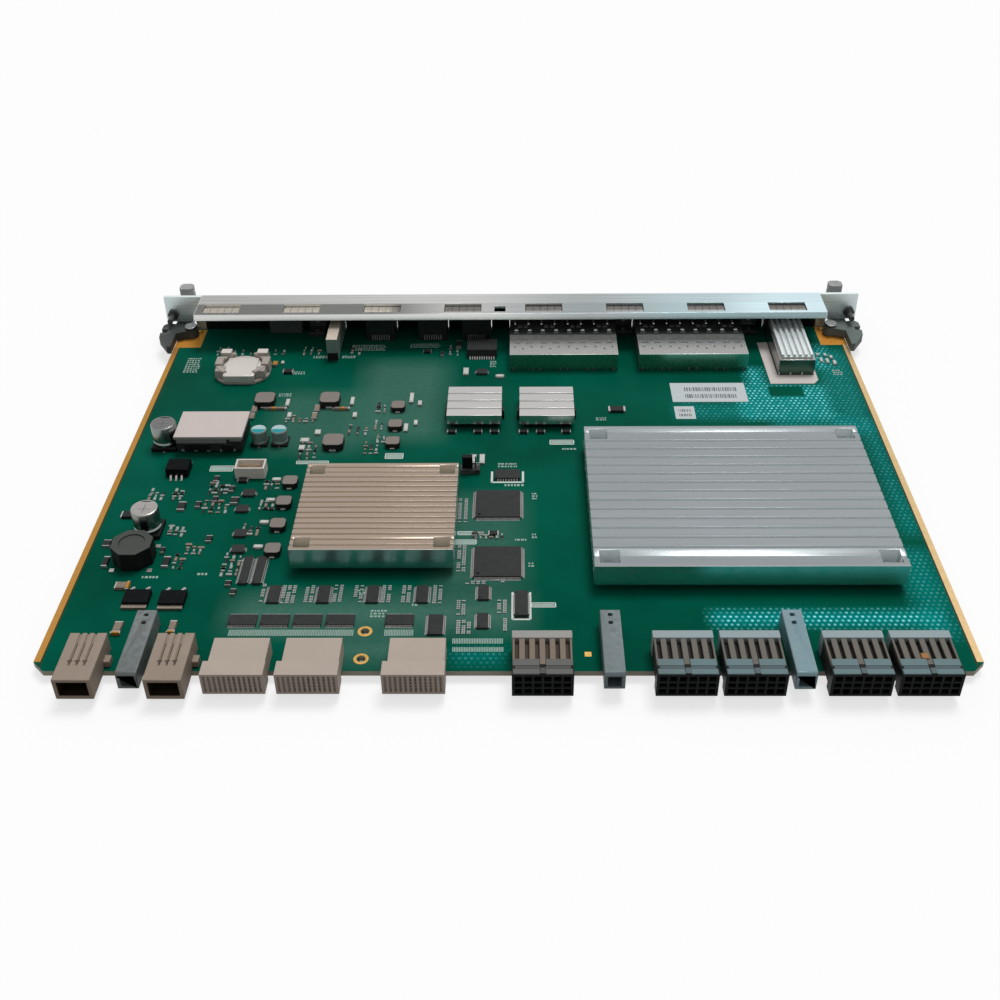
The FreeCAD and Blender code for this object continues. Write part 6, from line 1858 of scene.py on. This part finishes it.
@dataclass
class SmallParts(Assembly):
    """Chip resistors, capacitors and other small soldered parts."""

    tan: Patches = (
        (-160.2, 49.5, 5.4, 5), (-155.2, 24, 4, 6), (-133.3, 24.6, 3.4, 6), (-117.4, 187, 11, 2),
        (-84.3, 186.8, 8.6, 2), (-128.1, 186.3, 3.4, 5), (-128.3, 180, 3.2, 5), (-96.5, 187, 3.4, 5.4),
        (-97, 180, 3.2, 5.4))
    orange: Patches = ((-124.7, 231.6, 3.2, 4), (-118.5, 187, 2.2, 2.1), (-83.6, 186.8, 2.2, 2.1),
                                 (-157.6, 49.5, 1.6, 5.1), (-155.2, 20.4, 4, 1.4), (-133.3, 21, 3.4, 1.4))
    white: Patches = (
        (-112.3, 192.7, 2.4, 6.4), (-109.7, 181, 2.6, 4.4), (-79.5, 194, 2.4, 7), (-76.9, 180.9, 2.6, 4.4),
        (-49.5, 196.9, 2.6, 9), (-50.5, 169.2, 2.6, 6.6), (-45, 191.8, 2.6, 4.2), (-45.9, 173.6, 2.4, 4.2),
        (-4.8, 218.2, 4.4, 3), (-22.7, 223.1, 3.6, 7), (-16.4, 141.8, 3.4, 7), (-12.3, 141.8, 3.2, 7.4),
        (-107.4, 125.6, 4, 2.6), (-107.6, 109.6, 4, 2.6), (-107.8, 93, 4, 2.6), (-107.6, 75.6, 4, 2.6),
        (-121, 233, 2, 3), (-98.8, 158.3, 4.4, 4), (-93.4, 165.3, 3.6, 4), (-99.4, 151.8, 3.6, 4),
        (164.8, 239.4, 2, 2.6), (165.6, 233.6, 2, 4), (168.7, 232.6, 2, 4.4), (168.6, 239, 2, 2.6),
        (171.4, 236.6, 2, 3), (172.2, 230.8, 2.2, 4))
    dark: Patches = (
        (-116.7, 223.7, 5.4, 4.4), (54.2, 185.4, 8.4, 5.6), (-27.5, 252.1, 3.6, 6.6), (-36, 241.5, 2.4, 3.6),
        (-170.1, 98.5, 5.6, 5.4), (-173.9, 77.9, 4, 4.2), (-171.1, 65.3, 3, 6.6), (-148.5, 73, 2.2, 3.6),
        (-145.2, 65.2, 3.6, 6.6), (-130, 81, 3.2, 4), (-147.2, 104.8, 4.2, 6), (-44.3, 244.5, 4.6, 3),
        (-27.7, 165.6, 4.6, 3.4), (-14.9, 165.6, 4.2, 3.4), (-6.8, 165.6, 4.6, 3.4), (7.4, 165.4, 4.6, 3.4),
        (15.7, 165.4, 4.4, 3.4), (28.2, 165.4, 4.6, 3.4), (-6, 84.5, 4.4, 3.6), (-14.5, 84, 2.4, 2.4),
        (-135.5, 126, 3, 4), (-123, 125, 5, 4), (-133, 110, 3, 4), (-124, 109, 4.4, 4.6),
        (-127, 118, 3.2, 4), (-140, 106, 3, 4), (-113, 45.5, 3, 3.4), (-116, 51, 3, 3))
    fields: tuple[tuple[Patch, int], ...] = (
        ((-145.7, 87.8, 8.4, 8.4), 6), ((-135.2, 74.4, 8.4, 8.2), 6), ((-160.8, 114.4, 8, 9), 6),
        ((-150.8, 113.9, 6, 9), 5),
        ((-133.1, 119.4, 10, 11), 8), ((-131.9, 105.1, 13, 11), 9), ((-113, 88, 9, 8), 6),
        ((-117, 64, 9, 16), 12), ((-109, 122, 8, 8), 5), ((-109, 106, 8, 8), 5),
        ((-96, 150, 10, 16), 8), ((-66, 152, 8, 12), 6), ((-104, 178, 16, 8), 7),
        ((-74, 168, 12, 10), 6), ((-64, 188, 6, 10), 4), ((-64, 172, 6, 8), 4),
        ((-8, 84, 14, 5), 8), ((-140, 66, 6, 12), 4), ((-107, 246, 12, 10), 5), ((-83, 247, 8, 10), 4),
        ((-140, 246, 40, 10), 12), ((-30, 246, 8, 12), 5), ((-62, 160, 6, 8), 4))
    arrays: Patches = (
        (-102.8, 45.6, 6.4, 11.6), (-89.9, 44.6, 6.4, 11.6), (-81.3, 44.9, 4.4, 11), (-69.5, 45.2, 4.6, 11),
        (-61, 44.9, 4.6, 11), (-49.5, 44.9, 4.6, 11), (-41.3, 44.8, 4.4, 11), (-28.4, 44.5, 4.6, 11.6),
        (-17.4, 36.4, 6.4, 9.4), (-17, 24.7, 6.4, 8.4), (-1.8, 37, 4.6, 8.4), (-2.5, 25.6, 6.2, 8.8),
        (-20, 102, 5.4, 18), (-19.4, 68, 4.4, 18), (-13, 52, 9, 2.4), (-4, 53, 7, 2.2))
    array_pitch: Spot = (1.9, 1.05)
    array_body: Corner = (0.7, 0.6, 0.4)
    array_end: Corner = (0.34, 0.62, 0.4)
    field_more: float = 1.7
    field_sizes: Spots = ((1, 2), (0.9, 1.7), (1.4, 2.6))
    lift: float = 0.05

    def build(self) -> None:
        """Adds every listed part and fills the fields between chips with rows of tiny ones."""
        ends = self.pen()
        for name, patches, finish, height in (
                ("tan_parts", self.tan, Palette.part_tan, 1.5),
                ("orange_parts", self.orange, Palette.part_orange, 1.6),
                ("white_parts", self.white, Palette.part_white, 1.2),
                ("dark_parts", self.dark, Palette.part_dark, 1.4)):
            pen = self.pen()
            for x, y, width, depth in patches:
                pen.box(x, y, self.lift, width * 0.8, depth * 0.8, height, taper=0.08)
                self._ends(ends, (x, y, width, depth), height)
            self.piece(name, pen, finish, Slot.CHIP, bevel=0.12, segments=1)
        self._fields(ends)
        self._arrays(ends)
        self.piece("part_ends", ends, Palette.tin, Slot.FASTENER)

    def _arrays(self, ends: MeshPen) -> None:
        """Adds close rows of tiny resistors beside the bus chips and flat packs.

        Args:
            ends: pen that draws the soldered ends.
        """
        rng = random.Random(31)
        bodies = self.pen()
        across, along = self.array_pitch
        for x, y, width, depth in self.arrays:
            columns, rows = max(1, int(width / across)), max(1, int(depth / along))
            for column in range(columns):
                if columns > 2 and rng.random() < 0.2:
                    continue
                for row in range(rows):
                    if rng.random() < 0.14:
                        continue
                    place_x = x + width * ((column + 0.5) / columns - 0.5)
                    place_y = y + depth * ((row + 0.5) / rows - 0.5)
                    bodies.box(place_x, place_y, self.lift, *self.array_body)
                    for sign in SIGNS:
                        ends.box(place_x + sign * 0.52, place_y, 0, *self.array_end)
        self.piece("array_parts", bodies, Palette.part_grey, Slot.CHIP)

    @staticmethod
    def _ends(ends: MeshPen, patch: Patch, height: float) -> None:
        """Adds the two soldered ends of a part along its longer side.

        Args:
            ends: pen that draws.
            patch: part's middle, width and depth.
            height: part's height.
        """
        x, y, width, depth = patch
        size = (width * 0.12, depth * 0.84) if width > depth else (width * 0.84, depth * 0.12)
        for sign in SIGNS:
            spot = (x + sign * width * 0.45, y) if width > depth else (x, y + sign * depth * 0.45)
            ends.box(*spot, 0, *size, height * 0.9, taper=0.05)

    def _fields(self, ends: MeshPen) -> None:
        """Fills each field with small resistors and capacitors on a loose grid.

        Args:
            ends: pen that draws the soldered ends.
        """
        rng = random.Random(23)
        kinds = {"field_grey": (Palette.part_grey, 6), "field_tan": (Palette.part_tan, 3),
                 "field_dark": (Palette.part_dark, 2)}
        weights = [weight for _, weight in kinds.values()]
        pens = {name: self.pen() for name in kinds}
        for (x, y, width, depth), few in self.fields:
            count = round(few * self.field_more)
            columns = max(1, round(math.sqrt(count * width / depth)))
            rows = max(1, math.ceil(count / columns))
            for index in range(count):
                column, row = index % columns, index // columns
                place_x = x + width * ((column + 0.5) / columns - 0.5) + rng.uniform(-0.2, 0.2)
                place_y = y + depth * ((row + 0.5) / rows - 0.5) + rng.uniform(-0.3, 0.3)
                upright = rng.random() < 0.6
                part = rng.choice(self.field_sizes)
                wide, deep = part if upright else part[::-1]
                name = rng.choices(list(kinds), weights)[0]
                height = rng.uniform(0.45, 0.9)
                pens[name].box(place_x, place_y, self.lift, wide * 0.84, deep * 0.84, height)
                self._ends(ends, (place_x, place_y, wide, deep), height)
        for name, (finish, _) in kinds.items():
            self.piece(name, pens[name], finish, Slot.CHIP)


@dataclass
class Underside(Assembly):
    """Solder tails and pads under the board."""

    low: float = -2.4
    rows: tuple[tuple[Spots, Spot, Spot], ...] = (
        (((-102.6, 5), (-74.6, 5), (-34.6, 5)), (20, 8), (2, 2)),
        (((14, 3), (67.9, 3), (93.5, 3), (132.7, 3), (158.3, 3)), (20, 10), (1.9, 1.9)),
        (((-162, 7), (-127.8, 7)), (8, 8), (2.9, 4)),
        (((-70.6, 255), (-42, 255), (-18, 255)), (10, 8), (2, 2.5)),
        (((28.8, 230), (96.8, 230)), (50, 4), (3.5, 4)),
        (((149.8, 225),), (14, 6), (3, 3)), (((-120, 131),), (8, 1), (2.5, 2)),
        (((-142.8, 158.8),), (28, 18), (28, 18)), (((-140.5, 224),), (22, 1), (22, 2)),
        (((-17.6, 132.6),), (5.2, 1), (2.54, 2)))
    joint: Corner = (0.3, 0.62, 0.7)
    rear_margin: float = 1.0
    squares: tuple[Corner, ...] = ((99.9, 99.1, 40), (-56.5, 89.6, 30), (-16.8, 182.3, 18), (18.9, 182, 18))
    part: Corner = (1.0, 2.0, 0.55)
    part_pitch: float = 4.0
    part_share: float = 0.6

    def build(self) -> None:
        """Adds rows of domed solder joints under the connectors, and decoupling parts under the big chips."""
        joints, parts = self.pens(2)
        foot, root, height = self.joint
        for spots, (width, depth), (across, along) in self.rows:
            for x, y in spots:
                for column in spread(int(width / across) + 1, across):
                    for row in spread(int(depth / along) + 1, along):
                        place_y = max(self.rear_margin, y + row)
                        joints.rod(x + column, place_y, self.low - height, foot, height, 10, top=root)
        rng = random.Random(7)
        for x, y, span in self.squares:
            count = int(span / self.part_pitch)
            steps = [-span / 2 + self.part_pitch * (step + 0.5) for step in range(count)]
            for column in steps:
                for row in steps:
                    if rng.random() < self.part_share:
                        parts.box(x + column, y + row, self.low - self.part[2], *self.part)
        self.piece("solder_joints", joints, Palette.tin, Slot.FASTENER)
        self.piece("decoupling_parts", parts, Palette.part_tan, Slot.CHIP)


@dataclass
class Stage:
    """Pale floor, soft light from above and behind, white surround and the camera."""

    camera_place: Corner = (5.68, -483.59, 339.62)
    pitch: float = 36.467
    yaw: float = -1.155
    roll: float = -0.804
    focal: float = 1243.2
    image: float = 1000.0
    sensor: float = 36.0
    near_clip: float = 0.01
    floor_size: float = 30.0
    floor_drop: float = 0.5
    floor_colours: tuple[Colour, Colour] = ((0.93, 0.93, 0.93), (0.95, 0.95, 0.95))
    floor_glow: float = 0.7
    bounce_colour: Colour = (0.3, 0.3, 0.3)
    white: tuple[float, float, float, float] = (1, 1, 1, 1)
    sky: float = 0.4
    sun_place: Corner = (0.2, 0.42, 1.1)
    sun_spread: float = 26.0
    sun_strength: float = 2.05

    def build(self) -> None:
        """Builds the stage and points the camera."""
        self._floor()
        self._world()
        self._sun()
        self._camera()
        bpy.context.scene.view_settings.view_transform = "Standard"

    @staticmethod
    def _place(name: str, data: bpy.types.ID) -> Piece:
        """Puts an object with some data into the scene.

        Args:
            name: object's name.
            data: its mesh, light or camera.

        Returns:
            The new object.
        """
        made = bpy.data.objects.new(name, data)
        bpy.context.scene.collection.objects.link(made)
        return made

    @staticmethod
    def _seen(graph: Graph) -> Socket:
        """Returns 1 where the camera looks, directly, in a reflection or through glass."""
        rays = [graph.node("LightPath").outputs[f"Is {kind} Ray"] for kind in ("Camera", "Glossy",
                                                                               "Transmission")]
        return reduce(lambda first, second: graph.math("MAXIMUM", first, second), rays)

    def _floor(self) -> None:
        """Adds the floor, which is white to the camera and keeps the card's shadow."""
        mesh = bpy.data.meshes.new("floor")
        half = self.floor_size / 2
        corners = [(-half, -half, 0), (half, -half, 0), (half, half, 0), (-half, half, 0)]
        mesh.from_pydata(corners, [], [(0, 1, 2, 3)])
        floor = self._place("floor", mesh)
        floor.location.z = -self.floor_drop * MM
        made = bpy.data.materials.new("floor_white")
        made.use_nodes = True
        graph = Graph(made.node_tree)
        shader = made.node_tree.nodes["Principled BSDF"]
        output = made.node_tree.nodes["Material Output"]
        seen = self._seen(graph)
        uneven = graph.ramp(graph.noise(graph.place(), 3, 2), 0.3, 0.7)
        white = graph.mix(uneven, *self.floor_colours)
        graph.feed(shader, {"Base Color": graph.mix(seen, self.bounce_colour, white), "Roughness": 0.9,
                            "Specular IOR Level": 0})
        glow = graph.node("Emission", {"Color": self.white, "Strength": 1})
        blend = graph.node("MixShader", {0: graph.times(seen, self.floor_glow), 1: shader.outputs["BSDF"],
                                         2: glow.outputs["Emission"]})
        graph.feed(output, {"Surface": blend.outputs[0]})
        mesh.materials.append(made)

    def _world(self) -> None:
        """Adds soft light from all round that looks white to the camera and in reflections."""
        world = bpy.data.worlds.new("studio")
        bpy.context.scene.world = world
        world.use_nodes = True
        graph = Graph(world.node_tree)
        strength = graph.ramp(self._seen(graph), 0, 1, self.sky)
        graph.feed(world.node_tree.nodes["Background"], {"Strength": strength, "Color": self.white})

    def _sun(self) -> None:
        """Adds a soft even light that points at the card."""
        data = bpy.data.lights.new("key_sun", "SUN")
        data.angle = math.radians(self.sun_spread)
        data.energy = self.sun_strength
        lamp = self._place("key_sun", data)
        lamp.location = self.sun_place
        lamp.rotation_euler = (-Vector(self.sun_place)).to_track_quat("-Z", "Y").to_euler()

    def _camera(self) -> None:
        """Adds the camera at the place and angle measured for the photograph."""
        pitch, yaw, roll = (math.radians(angle) for angle in (self.pitch, self.yaw, self.roll))
        ahead = Vector((math.sin(yaw) * math.cos(pitch), math.cos(yaw) * math.cos(pitch), -math.sin(pitch)))
        across = Vector((math.cos(yaw), -math.sin(yaw), 0))
        up = across.cross(ahead)
        right = across * math.cos(roll) + up * math.sin(roll)
        top = up * math.cos(roll) - across * math.sin(roll)
        data = bpy.data.cameras.new("camera")
        data.sensor_width = self.sensor
        data.lens = self.focal * self.sensor / self.image
        data.clip_start = self.near_clip
        camera = self._place("camera", data)
        turn = Matrix((right, top, -ahead)).transposed().to_4x4()
        camera.matrix_world = Matrix.Translation(Vector(self.camera_place) * MM) @ turn
        bpy.context.scene.camera = camera


ASSEMBLIES = (Board, FrontPanel, Latches, Ports, Cages, HeatSinks, PowerConnectors, GuideSockets,
              SignalConnectors, FastConnectors, Converter, Capacitors, Coils, Transistors, Chips, Headers,
              CoinCell, SmallParts, Underside)


def main() -> None:
    """Builds the stage and the card's sub-assemblies in order."""
    logging.basicConfig(level=logging.INFO, format="%(name)s: %(message)s")
    Stage().build()
    for assembly in ASSEMBLIES:
        assembly().build()
    LOG.info("pieces: %d", Assembly.count)


if __name__ == "__main__":
    main()
